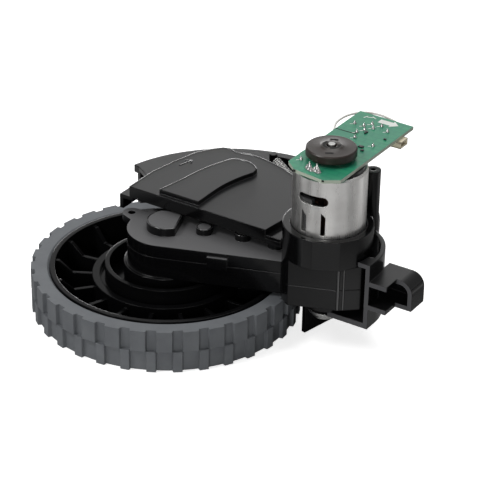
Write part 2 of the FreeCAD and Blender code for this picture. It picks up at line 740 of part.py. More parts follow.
pocket(circle(sketch(case, "dims.arm_split - dims.gear_space"),
              "dims.motor_pinion * dims.train_module / 2 + dims.addendum * dims.train_module"
              " + dims.gear_room", swing_axis), "dims.gear_space", flip=True)

# Pivot washer and screw under the base plate
round_piece("pivot_washer", swing_axis, [(screw_low, "dims.washer_height", "dims.washer_radius")])
round_piece("pivot_screw", swing_axis, [
    ("%s - dims.screw_head_height" % screw_low, "dims.screw_head_height", "dims.screw_head"),
])

# Motor: drawn can, front boss, magnets, armature on its shaft, end cap
can = body("motor_can", swing_axis)
in_radius = d.can_radius - d.can_wall
spin(outline(sketch(can, facing=-90), [
    (d.shaft_radius + d.part_gap, d.drum_top - d.front_boss_height),
    (d.front_boss, d.drum_top - d.front_boss_height),
    (d.front_boss, d.drum_top),
    (d.can_radius, d.drum_top),
    (d.can_radius, d.can_top - d.can_round),
    (d.can_radius - d.can_round, d.can_top),
    (in_radius, d.can_top),
    (in_radius, d.drum_top + d.can_wall),
    (d.shaft_radius + d.part_gap, d.drum_top + d.can_wall),
]))
window_middle = d.window_start + d.window_span / 2
window_half = d.can_radius * math.sin(math.radians(d.window_span / 2))
window_mid = d.window_bottom + d.window_height / 2
window_flat = window_half - d.window_height / 2
window = sketch(can, facing=window_middle)
outline(window, [
    (-window_flat, d.window_bottom),
    (window_flat, d.window_bottom),
    (window_half, window_mid, "arc"),
    (window_flat, d.window_bottom + d.window_height),
    (-window_flat, d.window_bottom + d.window_height),
    (-window_half, window_mid, "arc"),
])
pocket(window, "dims.can_radius * 2", flip=True)
for facing, width in ((d.slot_left_dir, d.slot_left_width), (d.slot_right_dir, d.slot_right_width)):
    slot = sketch(can, facing=facing)
    outline(slot, [
        (-width / 2, d.slot_bottom),
        (width / 2, d.slot_bottom),
        (width / 2, d.slot_bottom + d.slot_height - width),
        (-width / 2, d.slot_bottom + d.slot_height),
    ])
    pocket(slot, "dims.can_radius * 2", flip=True)

magnet_out = in_radius - d.fit_gap
magnet_in = magnet_out - d.magnet_wall
for label, middle in (("magnet_north", 20.0), ("magnet_south", 200.0)):
    magnet = body(label, swing_axis)
    ends = (middle - d.magnet_span / 2, middle + d.magnet_span / 2)
    pad(outline(sketch(magnet, "dims.core_bottom - 1"), band(magnet_in, magnet_out, *ends)),
        "dims.core_height + 2")

core = body("armature", swing_axis)
core_radius = magnet_in - d.air_gap
pad(circle(sketch(core, "dims.core_bottom"),
           "dims.can_radius - dims.can_wall - dims.fit_gap - dims.magnet_wall - dims.air_gap"),
    "dims.core_height")
gap_line = band(core_radius * 0.45, core_radius + 1, -12, 12)
repeat([pocket(outline(sketch(core, "dims.core_bottom"), gap_line), "dims.core_height", flip=True)],
       "dims.core_slots")
pad(circle(sketch(core, "dims.core_bottom + dims.core_height"), "dims.front_boss"), "4")
pocket(circle(sketch(core, "dims.core_bottom"), "dims.shaft_radius + dims.fit_gap"),
       "dims.core_height + 4", flip=True)
round_piece("motor_shaft", swing_axis, [(level_c, "dims.shaft_top - %s" % level_c, "dims.shaft_radius")])
pinion = body("motor_pinion", swing_axis)
gear(pinion, "motor_pinion", "train_module", level_c, motor_phase)
pocket(circle(sketch(pinion, level_c), "dims.shaft_radius + dims.fit_gap"), "dims.gear_width", flip=True)
round_piece("motor_end_cap", swing_axis, [
    ("dims.can_top - dims.cap_height", "dims.cap_height + dims.cap_stand",
     "dims.can_radius - dims.can_wall - dims.fit_gap"),
], "dims.shaft_radius + dims.part_gap")

# Encoder board with its break groove, sensors, connector and terminals
board_bottom = "(dims.can_top + dims.cap_stand)"
board_top = "(%s + dims.board_height)" % board_bottom
front = d.motor_y - d.board_front
board = body("encoder_board")
pad(outline(sketch(board, board_bottom), [
    (d.board_left, front + 4.7),
    (d.board_left + 3.8, front + 1.4),
    (d.board_right - 4.0, front),
    (d.board_right, front + 2.8),
    (d.board_right, d.board_back - 0.5),
    (d.board_left, d.board_back),
]), "dims.board_height")
pocket(circle(sketch(board, board_bottom), "dims.shaft_radius * 2", swing_axis),
       "dims.board_height", flip=True)
pocket(box(sketch(board, board_top), d.board_left, d.board_left + d.notch_length,
           d.notch_y - 0.2, d.notch_y + 0.2), "dims.notch_depth")

round_piece("encoder_disc", swing_axis, [
    ("dims.disc_bottom", "dims.disc_height", "dims.disc_radius"),
    ("dims.disc_bottom + dims.disc_height", "dims.disc_hub_rise", "dims.disc_hub"),
], "dims.shaft_radius + dims.fit_gap")

for label, facing in (("sensor_left", 60.0), ("sensor_right", 120.0)):
    sensor = body(label, polar(d.disc_radius - d.sensor_size, facing, swing_axis))
    pad(box(sketch(sensor, board_top), -d.sensor_size / 2, d.sensor_size / 2,
            -d.sensor_size / 2, d.sensor_size / 2), "dims.sensor_height")

plug = body("connector", (d.board_right + d.plug_proud, d.plug_y))
pad(box(sketch(plug, "%s - dims.plug_height" % board_bottom), -d.plug_depth, 0.0,
        -d.plug_width / 2, d.plug_width / 2), "dims.plug_height")
mouth = sketch(plug, facing=0.0)
mouth_low = value(board_bottom) - d.plug_height
box(mouth, -d.plug_width / 2 + d.plug_wall, d.plug_width / 2 - d.plug_wall,
    mouth_low + d.plug_wall, mouth_low + d.plug_height - d.plug_wall)
pocket(mouth, "dims.plug_depth - dims.plug_wall * 2")

for label, x in (("motor_terminal_left", -0.5), ("motor_terminal_right", 0.5)):
    place = (d.motor_x + x * d.tab_gap, d.motor_y - d.can_radius + d.can_wall)
    tab = body(label, place)
    pad(box(sketch(tab, board_top), -d.tab_width / 2, d.tab_width / 2,
            -d.tab_thick / 2, d.tab_thick / 2), "dims.tab_top - %s" % board_top)

# Housing: fender plate, skirt, shoulder and rear wall over the wheel
well = (d.well_x, d.well_y)
well_radius = d.wheel_radius + d.well_room
fender_radius = d.wheel_radius + d.fender_room
rear_right = polar(fender_radius, 29.9)
rear_left = polar(fender_radius, 88.0)
plate_line = [
    (d.plate_left, d.front_y),
    (d.plate_right, d.front_y),
    (d.plate_right + 0.9, d.front_y + 7.8),
    rear_right,
    polar(fender_radius, 59.0) + ("arc",),
    rear_left,
    (-2.6, 41.6),
    (-5.6, 42.9),
    (-7.9, 42.1),
    (-10.2, 39.5),
    (-12.9, 34.5),
    (-14.9, 25.8),
    (d.plate_left, 16.3),
]
housing = body("housing")
plate_bottom = "(dims.plate_top - dims.plate_height)"
pad(outline(sketch(housing, plate_bottom), plate_line), "dims.plate_height")
pad(box(sketch(housing, "dims.skirt_bottom"), d.plate_left, d.plate_right,
        d.front_y, d.front_y + d.wall), "%s - dims.skirt_bottom" % plate_bottom)
high_rear = band(fender_radius - d.wall, fender_radius, 29.9, 88.0)
pad(outline(sketch(housing, "dims.rear_clear"), high_rear), "%s - dims.rear_clear" % plate_bottom)
low_rear = band(fender_radius - d.wall, fender_radius, d.rear_low_dir, 88.0)
shelf_bottom = "(dims.rail_top - dims.shelf_height)"
pad(outline(sketch(housing, shelf_bottom), low_rear), "dims.rear_clear - %s" % shelf_bottom)

shoulder_line = [
    (d.plate_left - d.shoulder_out, d.front_y),
    (d.plate_left + d.wall, d.front_y),
    (d.plate_left + d.wall, 16.3),
    (-13.5, 25.8),
    (-11.5, 34.0),
    (-8.5, 39.0),
    (-4.0, 41.0),
    (1.0, 42.0),
    (1.0, 44.5),
    (-6.0, 46.6),
    (-12.0, 44.0),
    (-16.5, 36.0),
    (-18.6, 26.5),
    (d.plate_left - d.shoulder_out, 16.5),
]
shoulder_floor = "(dims.shoulder_top - dims.wall)"
pad(outline(sketch(housing, shoulder_floor), shoulder_line), "dims.wall")
riser_line = [
    (d.plate_left, d.front_y),
    (d.plate_left + d.wall, d.front_y),
    (d.plate_left + d.wall, 16.3),
    (-13.6, 25.6),
    (-11.6, 34.0),
    (-9.0, 38.7),
    (-7.0, 40.9),
    (-5.6, 41.6),
    (-2.6, 40.3),
    (1.5, 41.8),
    rear_left,
    (-2.6, 41.6),
    (-5.6, 42.9),
    (-7.9, 42.1),
    (-10.2, 39.5),
    (-12.9, 34.5),
    (-14.9, 25.8),
    (d.plate_left, 16.3),
]
pad(outline(sketch(housing, shoulder_floor), riser_line), "%s - %s" % (plate_bottom, shoulder_floor))
outer_line = [
    (d.plate_left - d.shoulder_out, d.front_y),
    (d.plate_left - d.shoulder_out + d.wall, d.front_y),
    (d.plate_left - d.shoulder_out + d.wall, 16.4),
    (-17.3, 26.2),
    (-15.3, 35.5),
    (-11.1, 43.0),
    (-5.9, 45.2),
    (1.0, 43.1),
    (1.0, 44.5),
    (-6.0, 46.6),
    (-12.0, 44.0),
    (-16.5, 36.0),
    (-18.6, 26.5),
    (d.plate_left - d.shoulder_out, 16.5),
]
pad(outline(sketch(housing, "dims.shoulder_bottom"), outer_line),
    "%s - dims.shoulder_bottom" % shoulder_floor)
outer_back = [
    (-16.9, 28.0),
    (-15.3, 35.5),
    (-11.1, 43.0),
    (-5.9, 45.2),
    (1.0, 43.1),
    (1.0, 44.5),
    (-6.0, 46.6),
    (-12.0, 44.0),
    (-16.5, 36.0),
    (-18.3, 28.0),
]
pad(outline(sketch(housing, shelf_bottom), outer_back), "dims.shoulder_bottom - %s" % shelf_bottom)

# Swept bulge over the path of the D boss
pad(outline(sketch(housing, "dims.plate_top"), [
    (-6.4, d.front_y + d.wall),
    (7.4, d.front_y + d.wall),
    (7.3, 13.5),
    (8.0, 22.1, "arc"),
    (10.4, 30.5),
    (10.1, 33.3),
    (3.0, 36.0, "arc"),
    (-0.1, 34.7),
    (-3.6, 23.3, "arc"),
    (-4.7, 15.2),
]), "dims.bulge_rise")

# Wheel well wall with its bead rail, shelf, fin and spring post
well_out = well_radius + d.wall
high_well = band(well_radius, well_out, d.well_start, d.well_end, well)
pad(outline(sketch(housing, "0"), high_well), "dims.rail_top")
low_well = band(well_radius, well_out, d.fin_start, d.well_start, well)
pad(outline(sketch(housing, "0"), low_well), "dims.low_top")
rail = band(well_radius + d.wall / 2, well_out + d.rail_out, d.well_start, d.well_end, well)
pad(outline(sketch(housing, "dims.rail_top - dims.rail_height"), rail), "dims.rail_height")
fin_in = polar(well_radius, d.fin_start, well)
fin_out = polar(well_out, d.fin_start, well)
pad(outline(sketch(housing, "0"), [
    fin_in,
    polar(d.fin_length, d.fin_start - 90, fin_in),
    polar(d.fin_length, d.fin_start - 90, fin_out),
    fin_out,
]), "dims.fin_top")
shelf_line = [
    polar(well_radius + d.wall / 2, d.well_end, well),
    (-28.0, 33.0),
    (-17.6, 30.0),
    (-16.0, 36.0),
    (-11.6, 43.6),
    (-6.0, 45.9),
    (1.0, 43.8),
    polar(fender_radius - d.wall / 2, 80.0),
    (d.post_x + 2.6, d.post_y - 1.5),
    polar(well_radius + d.wall / 2, 105.0, well),
    polar(well_radius + d.wall / 2, 136.0, well) + ("arc",),
]
pad(outline(sketch(housing, shelf_bottom), shelf_line), "dims.shelf_height")
pad(circle(sketch(housing, "dims.rail_top"), "dims.lug_radius", (d.post_x, d.post_y)),
    "dims.lug_top - dims.rail_top")

# Pivot cup round the gearbox's drum, with its base plate and screw post
cup_out = d.cup_radius + d.wall
cup_line = band(d.cup_radius, cup_out, 0.0, d.cup_end, swing_axis)
pad(outline(sketch(housing, "dims.base_bottom"), cup_line), "dims.housing_cup_top - dims.base_bottom")
join_line = band(d.cup_radius, cup_out + 1.5, d.cup_end - 1, d.cup_join, swing_axis)
pad(outline(sketch(housing, "dims.rear_clear"), join_line),
    "dims.housing_cup_top - dims.rear_clear")
wall_x = d.motor_x + d.cup_radius
pad(box(sketch(housing, "dims.base_bottom"), wall_x, wall_x + d.wall, d.front_y, d.motor_y + 0.2),
    "dims.housing_cup_top - dims.base_bottom")
base_line = [
    (52.9, d.front_y),
    (wall_x + 0.2, d.front_y),
    (wall_x + 0.2, d.motor_y),
    polar(d.cup_radius + 0.2, 55, swing_axis) + ("arc",),
    polar(d.cup_radius + 0.2, 112, swing_axis),
    (46.2, 21.5),
    (43.6, 11.0),
    (47.0, 6.0),
]
pad(outline(sketch(housing, "dims.base_bottom"), base_line), "dims.base_top - dims.base_bottom")
pocket(circle(sketch(housing, "dims.base_bottom"), "dims.pivot_radius + dims.run_gap", swing_axis),
       "dims.base_top - dims.base_bottom", flip=True)
screw_post = (d.screw_post_x, d.screw_post_y)
pad(circle(sketch(housing, "dims.base_bottom"), "dims.screw_post_radius", screw_post),
    "dims.screw_post_top - dims.base_bottom")
pocket(circle(sketch(housing, "dims.screw_post_top"), "dims.screw_post_bore", screw_post),
       "dims.screw_post_depth")

# Slotted bracket and block beside the cup
bracket_back = d.front_y + d.bracket_depth
block_back = bracket_back + d.block_depth
reach = wall_x + d.wall + d.flange_reach
for top in ("dims.mid_shelf_top", "dims.low_shelf_top"):
    pad(box(sketch(housing, top + " - dims.flange_wall"), wall_x + 0.5, reach,
            d.front_y, bracket_back + 0.5), "dims.flange_wall")
flange_in = d.drum_radius + 0.5
flange_dir = math.degrees(math.asin((d.front_y - d.motor_y) / flange_in))
pad(outline(sketch(housing, "dims.housing_cup_top - dims.wall"), [
    (wall_x + d.wall, d.front_y),
    (wall_x + d.wall, d.motor_y),
    polar(flange_in, 0.0, swing_axis),
    polar(flange_in, flange_dir / 2, swing_axis) + ("arc",),
    polar(flange_in, flange_dir, swing_axis),
]), "dims.wall")
block_x = wall_x + d.wall + d.block_reach
block_floor = d.low_shelf_top - d.flange_wall
block_top = d.mid_shelf_top
slope = d.block_round * math.sqrt(0.5)
profile = [
    (wall_x + 0.5, block_floor),
    (block_x, block_floor),
    (block_x, block_top - d.block_round),
    (block_x - d.block_round + slope, block_top - d.block_round + slope, "arc"),
    (block_x - d.block_round, block_top),
    (wall_x + 0.5, block_top),
]
block = sketch(housing, facing=-90)
block.AttachmentOffset = Placement(Vector(0, 0, -block_back), Rotation())
outline(block, profile)
pad(block, "dims.block_depth")
hollow = sketch(housing, facing=-90)
hollow.AttachmentOffset = Placement(Vector(0, 0, -bracket_back), Rotation())
inner_round = d.block_round - d.wall
inner_slope = inner_round * math.sqrt(0.5)
outline(hollow, [
    (wall_x + d.wall, d.low_shelf_top),
    (block_x - d.wall, d.low_shelf_top),
    (block_x - d.wall, block_top - d.block_round),
    (block_x - d.block_round + inner_slope, block_top - d.block_round + inner_slope, "arc"),
    (block_x - d.block_round, block_top - d.wall),
    (wall_x + d.wall, block_top - d.wall),
])
pocket(hollow, "dims.block_depth - dims.wall")

# Swing spring between the post and the lever's lug, as the tube that its coils fill
post = (d.post_x, d.post_y)
spring_dir = direction(post, lug_place)
spring_run = math.dist(post, lug_place)
spring = doc.addObject("Part::Feature", "swing_spring")
spring.Label = "swing_spring"
coil_run = spring_run - 2 * d.spring_end
along = Vector(*polar(1.0, spring_dir), 0)
start = Vector(post[0], post[1], d.spring_axis) + along * d.spring_end
coil = Part.makeCylinder(d.spring_outer, coil_run, start, along)
plug_length = d.spring_wire * 2
bore_start = start + along * plug_length
coil = coil.cut(Part.makeCylinder(d.spring_outer - d.spring_wire * 2, coil_run - 2 * plug_length,
                                  bore_start, along))
hook = d.spring_end - d.lug_radius - d.part_gap
coil = coil.fuse(Part.makeCylinder(d.spring_wire, hook, start - along * hook, along))
coil = coil.fuse(Part.makeCylinder(d.spring_wire, hook, start + along * coil_run, along))
spring.Shape = coil
pieces.append(spring)

# Jumper wire along the board's left and rear edges, straight runs joined by tangent arcs
wire_z = value(board_top) - d.board_height / 2
wire_points = [
    (d.board_left - d.wire_radius - 0.1, d.notch_y - 0.5),
    (38.4, 30.7),
    (38.3, 36.0),
    (d.board_left + 0.4, d.board_back + 1.5),
    (46.0, d.board_back + 2.0),
    (50.5, d.board_back + 1.2),
    (53.0, d.board_back + d.wire_radius - 0.3),
]


def tube(points, radius, z):
    """Sweep a six-sided section along runs joined by arcs as large as the runs allow."""
    spots = [Vector(x, y, z) for x, y in points]
    edges = []
    cursor = spots[0]
    for before, here, after in zip(spots, spots[1:], spots[2:]):
        run_in = here - before
        run_out = after - here
        turn = run_in.getAngle(run_out)
        cut = 0.45 * min(run_in.Length, run_out.Length)
        bend = cut / math.tan(turn / 2)
        enter = here - Vector(run_in).normalize() * cut
        leave = here + Vector(run_out).normalize() * cut
        inward = (Vector(run_out).normalize() - Vector(run_in).normalize()).normalize()
        middle = here + inward * (bend / math.cos(turn / 2) - bend)
        edges.append(Part.LineSegment(cursor, enter).toShape())
        edges.append(Part.Arc(enter, middle, leave).toShape())
        cursor = leave
    edges.append(Part.LineSegment(cursor, spots[-1]).toShape())
    path = Part.Wire(edges)
    heading = (spots[1] - spots[0]).normalize()
    side = heading.cross(Vector(0, 0, 1))
    corners = []
    for angle in range(0, 420, 60):
        across, up = polar(radius, angle)
        corners.append(spots[0] + side * across + Vector(0, 0, up))
    return path.makePipeShell([Part.makePolygon(corners)], True, False)


wire = doc.addObject("Part::Feature", "jumper_wire")
wire.Label = "jumper_wire"
wire.Shape = tube(wire_points, d.wire_radius, wire_z)
pieces.append(wire)

doc.recompute()
for item in doc.Objects:
    if "Invalid" in item.State or "Error" in item.State:
        raise RuntimeError("%s is %s" % (item.Label, item.State))
for piece in pieces:
    shape = piece.Shape
    if shape.isNull() or not shape.isValid() or len(shape.Solids) != 1:
        raise RuntimeError("%s has %d solids" % (piece.Label, len(shape.Solids)))
    shape.exportStep("parts/%s.step" % piece.Label)
    print("%-22s %9.1f mm3" % (piece.Label, shape.Volume))
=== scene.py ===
"""Looks of a robot vacuum's wheel module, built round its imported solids.

The classes hold their sizes in millimetres, and piece() turns a finished shape into metres.
"""

from __future__ import annotations

import json
import logging
import math
from dataclasses import dataclass, field
from enum import Enum
from typing import Any

import bmesh
import bpy
from mathutils import Matrix, Vector


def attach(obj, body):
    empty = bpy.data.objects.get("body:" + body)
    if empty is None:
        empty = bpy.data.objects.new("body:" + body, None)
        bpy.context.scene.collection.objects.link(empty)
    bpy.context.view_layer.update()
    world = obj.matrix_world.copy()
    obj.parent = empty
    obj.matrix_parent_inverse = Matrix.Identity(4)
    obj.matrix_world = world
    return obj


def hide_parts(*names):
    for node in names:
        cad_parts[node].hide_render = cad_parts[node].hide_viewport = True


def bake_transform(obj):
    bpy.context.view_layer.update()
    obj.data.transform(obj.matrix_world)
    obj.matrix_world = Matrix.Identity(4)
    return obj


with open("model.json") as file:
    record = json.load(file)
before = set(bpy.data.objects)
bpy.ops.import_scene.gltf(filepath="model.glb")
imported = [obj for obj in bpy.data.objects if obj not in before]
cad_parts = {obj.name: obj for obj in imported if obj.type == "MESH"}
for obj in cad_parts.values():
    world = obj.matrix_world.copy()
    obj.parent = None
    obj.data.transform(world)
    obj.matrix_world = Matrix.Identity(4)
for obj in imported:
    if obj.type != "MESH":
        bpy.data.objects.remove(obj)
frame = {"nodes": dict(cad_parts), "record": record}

LOG = logging.getLogger("wheel_module")
MM = 0.001
MERGE = 0.0005  # corners of a new shape that are nearer than this become one
CRISP = math.radians(38)  # edges sharper than this stay crisp on a smooth piece
LEVEL = 0.99  # upward share of a normal from which a face counts as level
LEVEL_LOOK = 0.5  # the same where a finish tells level faces from walls
EVERYWHERE = 1000.0  # a height above the whole module
ORIGIN = (0, 0, 0)
COLOURS = {"data_type": "RGBA"}
SPREAD = {"From_Min": 0.25, "From_Max": 0.75}  # noise seldom leaves this band

Point = tuple[float, float, float]
Pair = tuple[float, float]


class Body(Enum):
    """The moving bodies that pieces ride on."""

    HOUSING = "housing"
    ARM = "arm"
    ROTOR = "rotor"


class Line(Enum):
    """How a route runs from point to point, by Blender's name of the spline."""

    STRAIGHT = "POLY"
    SMOOTH = "NURBS"


def linear(code: str) -> tuple[float, float, float, float]:
    """Turn an sRGB hex colour into linear values.

    Args:
        code: Colour as "#rrggbb".

    Returns:
        Linear red, green, blue and an alpha of one.
    """
    parts = [int(code[i : i + 2], 16) / 255 for i in (1, 3, 5)]
    out = [c / 12.92 if c <= 0.04045 else ((c + 0.055) / 1.055) ** 2.4 for c in parts]
    return (out[0], out[1], out[2], 1.0)


def per(size_mm: float) -> float:
    """Return the scale of a pattern whose grains are this many millimetres."""
    return 1 / (size_mm * MM)


def around(value: float, drift: Pair) -> Pair:
    """Return the band between a value's drift down and its drift up."""
    return value + drift[0], value + drift[1]


class Tree:
    """The node tree of one material or of the world."""

    def __init__(self, owner: bpy.types.Material | bpy.types.World) -> None:
        """Empty the owner's tree.

        Args:
            owner: The material or the world.
        """
        owner.use_nodes = True
        self.owner = owner
        self.tree = owner.node_tree
        self.tree.nodes.clear()

    def node(self, kind: str, settings: dict[str, Any] | None = None, **inputs: Any) -> bpy.types.Node:
        """Add one node with its settings and links.

        Args:
            kind: Blender's name of the node, without ShaderNode in front.
            settings: Attributes to set on the node.
            inputs: Its inputs by name, with underscores for spaces, or by number as _0. A
                socket is linked and a value is set.

        Returns:
            The new node.
        """
        made = self.tree.nodes.new(f"ShaderNode{kind}")
        for key, value in (settings or {}).items():
            setattr(made, key, value)
        for key, value in inputs.items():
            socket = made.inputs[int(key[1:]) if key[1:].isdigit() else key.replace("_", " ")]
            if isinstance(value, bpy.types.NodeSocket):
                self.tree.links.new(value, socket)
            else:
                socket.default_value = value
        return made

    def level_share(self, place: bpy.types.NodeSocket, below_mm: float) -> bpy.types.NodeSocket:
        """Tell level faces from upright ones.

        Args:
            place: The object's coordinates.
            below_mm: Height above which level faces count as upright ones too.

        Returns:
            One on level faces and zero elsewhere.
        """
        normal = self.node("NewGeometry").outputs["Normal"]
        facing = self.node("SeparateXYZ", Vector=normal).outputs["Z"]
        upward = self.node("Math", {"operation": "ABSOLUTE"}, _0=facing).outputs[0]
        flat = self.node("Math", {"operation": "GREATER_THAN"}, _0=upward, _1=LEVEL_LOOK)
        height = self.node("SeparateXYZ", Vector=place).outputs["Z"]
        low = self.node("Math", {"operation": "LESS_THAN"}, _0=height, _1=below_mm * MM)
        both = self.node("Math", {"operation": "MULTIPLY"}, _0=flat.outputs[0], _1=low.outputs[0])
        return both.outputs[0]

    def close(self, height: bpy.types.NodeSocket, relief: Pair, edge_mm: float,
              **inputs: Any) -> bpy.types.Material:
        """Close a material with relief over softly rounded edges, its shader and its output.

        Args:
            height: The relief's factor.
            relief: The relief's depth in millimetres and the share of it that shows.
            edge_mm: Radius that sharp edges seem to have, or zero for none.
            inputs: The shader's other inputs.

        Returns:
            The finished material.
        """
        rounded = {}
        if edge_mm > 0:
            bevel = self.node("Bevel", {"samples": 6}, Radius=edge_mm * MM)
            rounded["Normal"] = bevel.outputs["Normal"]
        depth, share = relief
        bump = self.node("Bump", Height=height, Distance=depth * MM, Strength=share, **rounded)
        shader = self.node("BsdfPrincipled", Normal=bump.outputs["Normal"], **inputs)
        self.node("OutputMaterial", Surface=shader.outputs[0])
        return self.owner


@dataclass(frozen=True)
class MouldedAbs:
    """Black ABS: upright walls drawn from a polished tool, level faces with a fine satin texture."""

    colour: str = "#09090a"
    flow: str = "#0d0d0e"
    # Where level faces are paler than the walls, that is painted light from above.
    level_colour: str = "#0e0e0f"
    roughness: float = 0.16
    level_roughness: float = 0.16
    gloss: float = 0.31
    edge_mm: float = 0.45
    level_look_below_mm: float = EVERYWHERE
    flow_mm: float = 28.0  # span of one faint flow mark
    grain_mm: float = 0.35  # the tool's real grain is finer and wouldn't show
    relief: Pair = (0.02, 0.18)
    ior: float = 1.53
    drift: Pair = (-0.02, 0.03)  # what the flow marks add to the walls' roughness
    level_drift: Pair = (-0.03, 0.04)

    def build(self, name: str) -> bpy.types.Material:
        """Build the material.

        Args:
            name: Its name.

        Returns:
            The material.
        """
        tree = Tree(bpy.data.materials.new(name))
        place = tree.node("TexCoord").outputs["Object"]
        flow, grain = (
            tree.node("TexNoise", Vector=place, Scale=per(size), Detail=2.0).outputs["Fac"]
            for size in (self.flow_mm, self.grain_mm)
        )
        bands = ((0.0, 1.0), around(self.roughness, self.drift),
                 around(self.level_roughness, self.level_drift))
        share, polished, textured = (
            tree.node("MapRange", Value=flow, To_Min=low, To_Max=high, **SPREAD).outputs["Result"]
            for low, high in bands
        )
        wall = tree.node("Mix", COLOURS, _0=share, _6=linear(self.colour), _7=linear(self.flow))
        level = tree.level_share(place, self.level_look_below_mm)
        colour = tree.node("Mix", COLOURS, _0=level, _6=wall.outputs[2],
                           _7=linear(self.level_colour)).outputs[2]
        rough = tree.node("Mix", _0=level, _2=polished, _3=textured).outputs[0]
        return tree.close(grain, self.relief, self.edge_mm, Base_Color=colour, Roughness=rough,
                          IOR=self.ior, Specular_IOR_Level=self.gloss)


@dataclass(frozen=True)
class TreadRubber:
    """Grey rubber as it leaves the mould: matt, slightly dusty, with a fine tooth."""

    colour: str = "#5c5f63"
    dust: str = "#6c6f72"
    dust_mm: float = 6.0
    tooth_mm: float = 0.4  # the mould's real tooth is finer and wouldn't show
    roughness: Pair = (0.62, 0.78)
    relief: Pair = (0.05, 0.35)
    edge_mm: float = 0.35

    def build(self, name: str) -> bpy.types.Material:
        """Build the material.

        Args:
            name: Its name.

        Returns:
            The material.
        """
        tree = Tree(bpy.data.materials.new(name))
        place = tree.node("TexCoord").outputs["Object"]
        cloud, tooth = (
            tree.node("TexNoise", Vector=place, Scale=per(size), Detail=detail).outputs["Fac"]
            for size, detail in ((self.dust_mm, 4.0), (self.tooth_mm, 3.0))
        )
        share, rough = (
            tree.node("MapRange", Value=cloud, To_Min=low, To_Max=high, **SPREAD).outputs["Result"]
            for low, high in ((0.0, 1.0), self.roughness)
        )
        colour = tree.node("Mix", COLOURS, _0=share, _6=linear(self.colour), _7=linear(self.dust))
        return tree.close(tooth, self.relief, self.edge_mm, Base_Color=colour.outputs[2],
                          Roughness=rough, IOR=1.5)


@dataclass(frozen=True)
class PlatedSteel:
    """Drawn steel with satin nickel plate: faint upright draw lines, soft wide reflections."""

    colour: str
    shade: str
    roughness: float
    stretch: Point = (1.0, 1.0, 0.05)
    line_mm: float = 0.5  # real draw lines are finer and wouldn't show
    cloud_mm: float = 5.0
    relief: Pair = (0.01, 0.06)
    edge_mm: float = 0.2
    drift: Pair = (-0.04, 0.05)  # what the draw lines add to the roughness

    def build(self, name: str) -> bpy.types.Material:
        """Build the material.

        Args:
            name: Its name.

        Returns:
            The material.
        """
        tree = Tree(bpy.data.materials.new(name))
        place = tree.node("TexCoord").outputs["Object"]
        drawn = tree.node("Mapping", Vector=place, Scale=self.stretch).outputs[0]
        lines, cloud = (
            tree.node("TexNoise", Vector=where, Scale=per(size), Detail=3.0).outputs["Fac"]
            for where, size in ((drawn, self.line_mm), (place, self.cloud_mm))
        )
        bands = ((cloud, 0.0, 1.0), (lines, *around(self.roughness, self.drift)))
        share, rough = (
            tree.node("MapRange", Value=value, To_Min=low, To_Max=high, **SPREAD).outputs["Result"]
            for value, low, high in bands
        )
        colour = tree.node("Mix", COLOURS, _0=share, _6=linear(self.colour), _7=linear(self.shade))
        return tree.close(lines, self.relief, self.edge_mm, Base_Color=colour.outputs[2],
                          Roughness=rough, Metallic=1.0)


@dataclass(frozen=True)
class SolderMask:
    """Green lacquer over woven glass and copper: glossy, paler where copper lies under it."""

    lacquer: str = "#227f62"
    copper: str = "#2c9068"
    edge: str = "#b4bfae"
    plane_mm: float = 9.0  # span of one copper area
    weave_mm: float = 0.5  # spacing of the glass cloth's threads
    relief: Pair = (0.02, 0.2)
    edge_mm: float = 0.08

    def build(self, name: str) -> bpy.types.Material:
        """Build the material.

        Args:
            name: Its name.

        Returns:
            The material.
        """
        tree = Tree(bpy.data.materials.new(name))
        place = tree.node("TexCoord").outputs["Object"]
        planes = tree.node("TexBrick", Vector=place, Scale=per(self.plane_mm), Mortar_Size=0.03,
                           Color1=(0.2, 0.2, 0.2, 1), Color2=(0.8, 0.8, 0.8, 1), Mortar=(0, 0, 0, 1))
        weave = tree.node("TexNoise", Vector=place, Scale=per(self.weave_mm), Detail=2.0)
        face = tree.node("Mix", COLOURS, _0=planes.outputs["Color"],
                         _6=linear(self.lacquer), _7=linear(self.copper))
        colour = tree.node("Mix", COLOURS, _0=tree.level_share(place, EVERYWHERE),
                           _6=linear(self.edge), _7=face.outputs[2])
        return tree.close(weave.outputs["Fac"], self.relief, self.edge_mm,
                          Base_Color=colour.outputs[2], Roughness=0.3, IOR=1.5)


@dataclass(frozen=True)
class PlainMoulding:
    """A small moulded or sintered piece: even colour with a little mottling and tooth."""

    colour: str
    mottle: str
    roughness: float
    metallic: float = 0.0
    grain_mm: float = 0.4  # the real grain is finer and wouldn't show
    edge_mm: float = 0.15
    relief: Pair = (0.03, 0.25)
    drift: Pair = (-0.05, 0.08)  # what the grain adds to the roughness
    patch_grains: float = 8.0  # span of one mottled patch, in grains

    def build(self, name: str) -> bpy.types.Material:
        """Build the material.

        Args:
            name: Its name.

        Returns:
            The material.
        """
        tree = Tree(bpy.data.materials.new(name))
        place = tree.node("TexCoord").outputs["Object"]
        grain, cloud = (
            tree.node("TexNoise", Vector=place, Scale=per(size), Detail=detail).outputs["Fac"]
            for size, detail in ((self.grain_mm, 3.0), (self.grain_mm * self.patch_grains, 2.0))
        )
        bands = ((cloud, 0.0, 1.0), (grain, *around(self.roughness, self.drift)))
        share, rough = (
            tree.node("MapRange", Value=value, To_Min=low, To_Max=high, **SPREAD).outputs["Result"]
            for value, low, high in bands
        )
        colour = tree.node("Mix", COLOURS, _0=share, _6=linear(self.colour), _7=linear(self.mottle))
        return tree.close(grain, self.relief, self.edge_mm, Base_Color=colour.outputs[2],
                          Roughness=rough, Metallic=self.metallic)


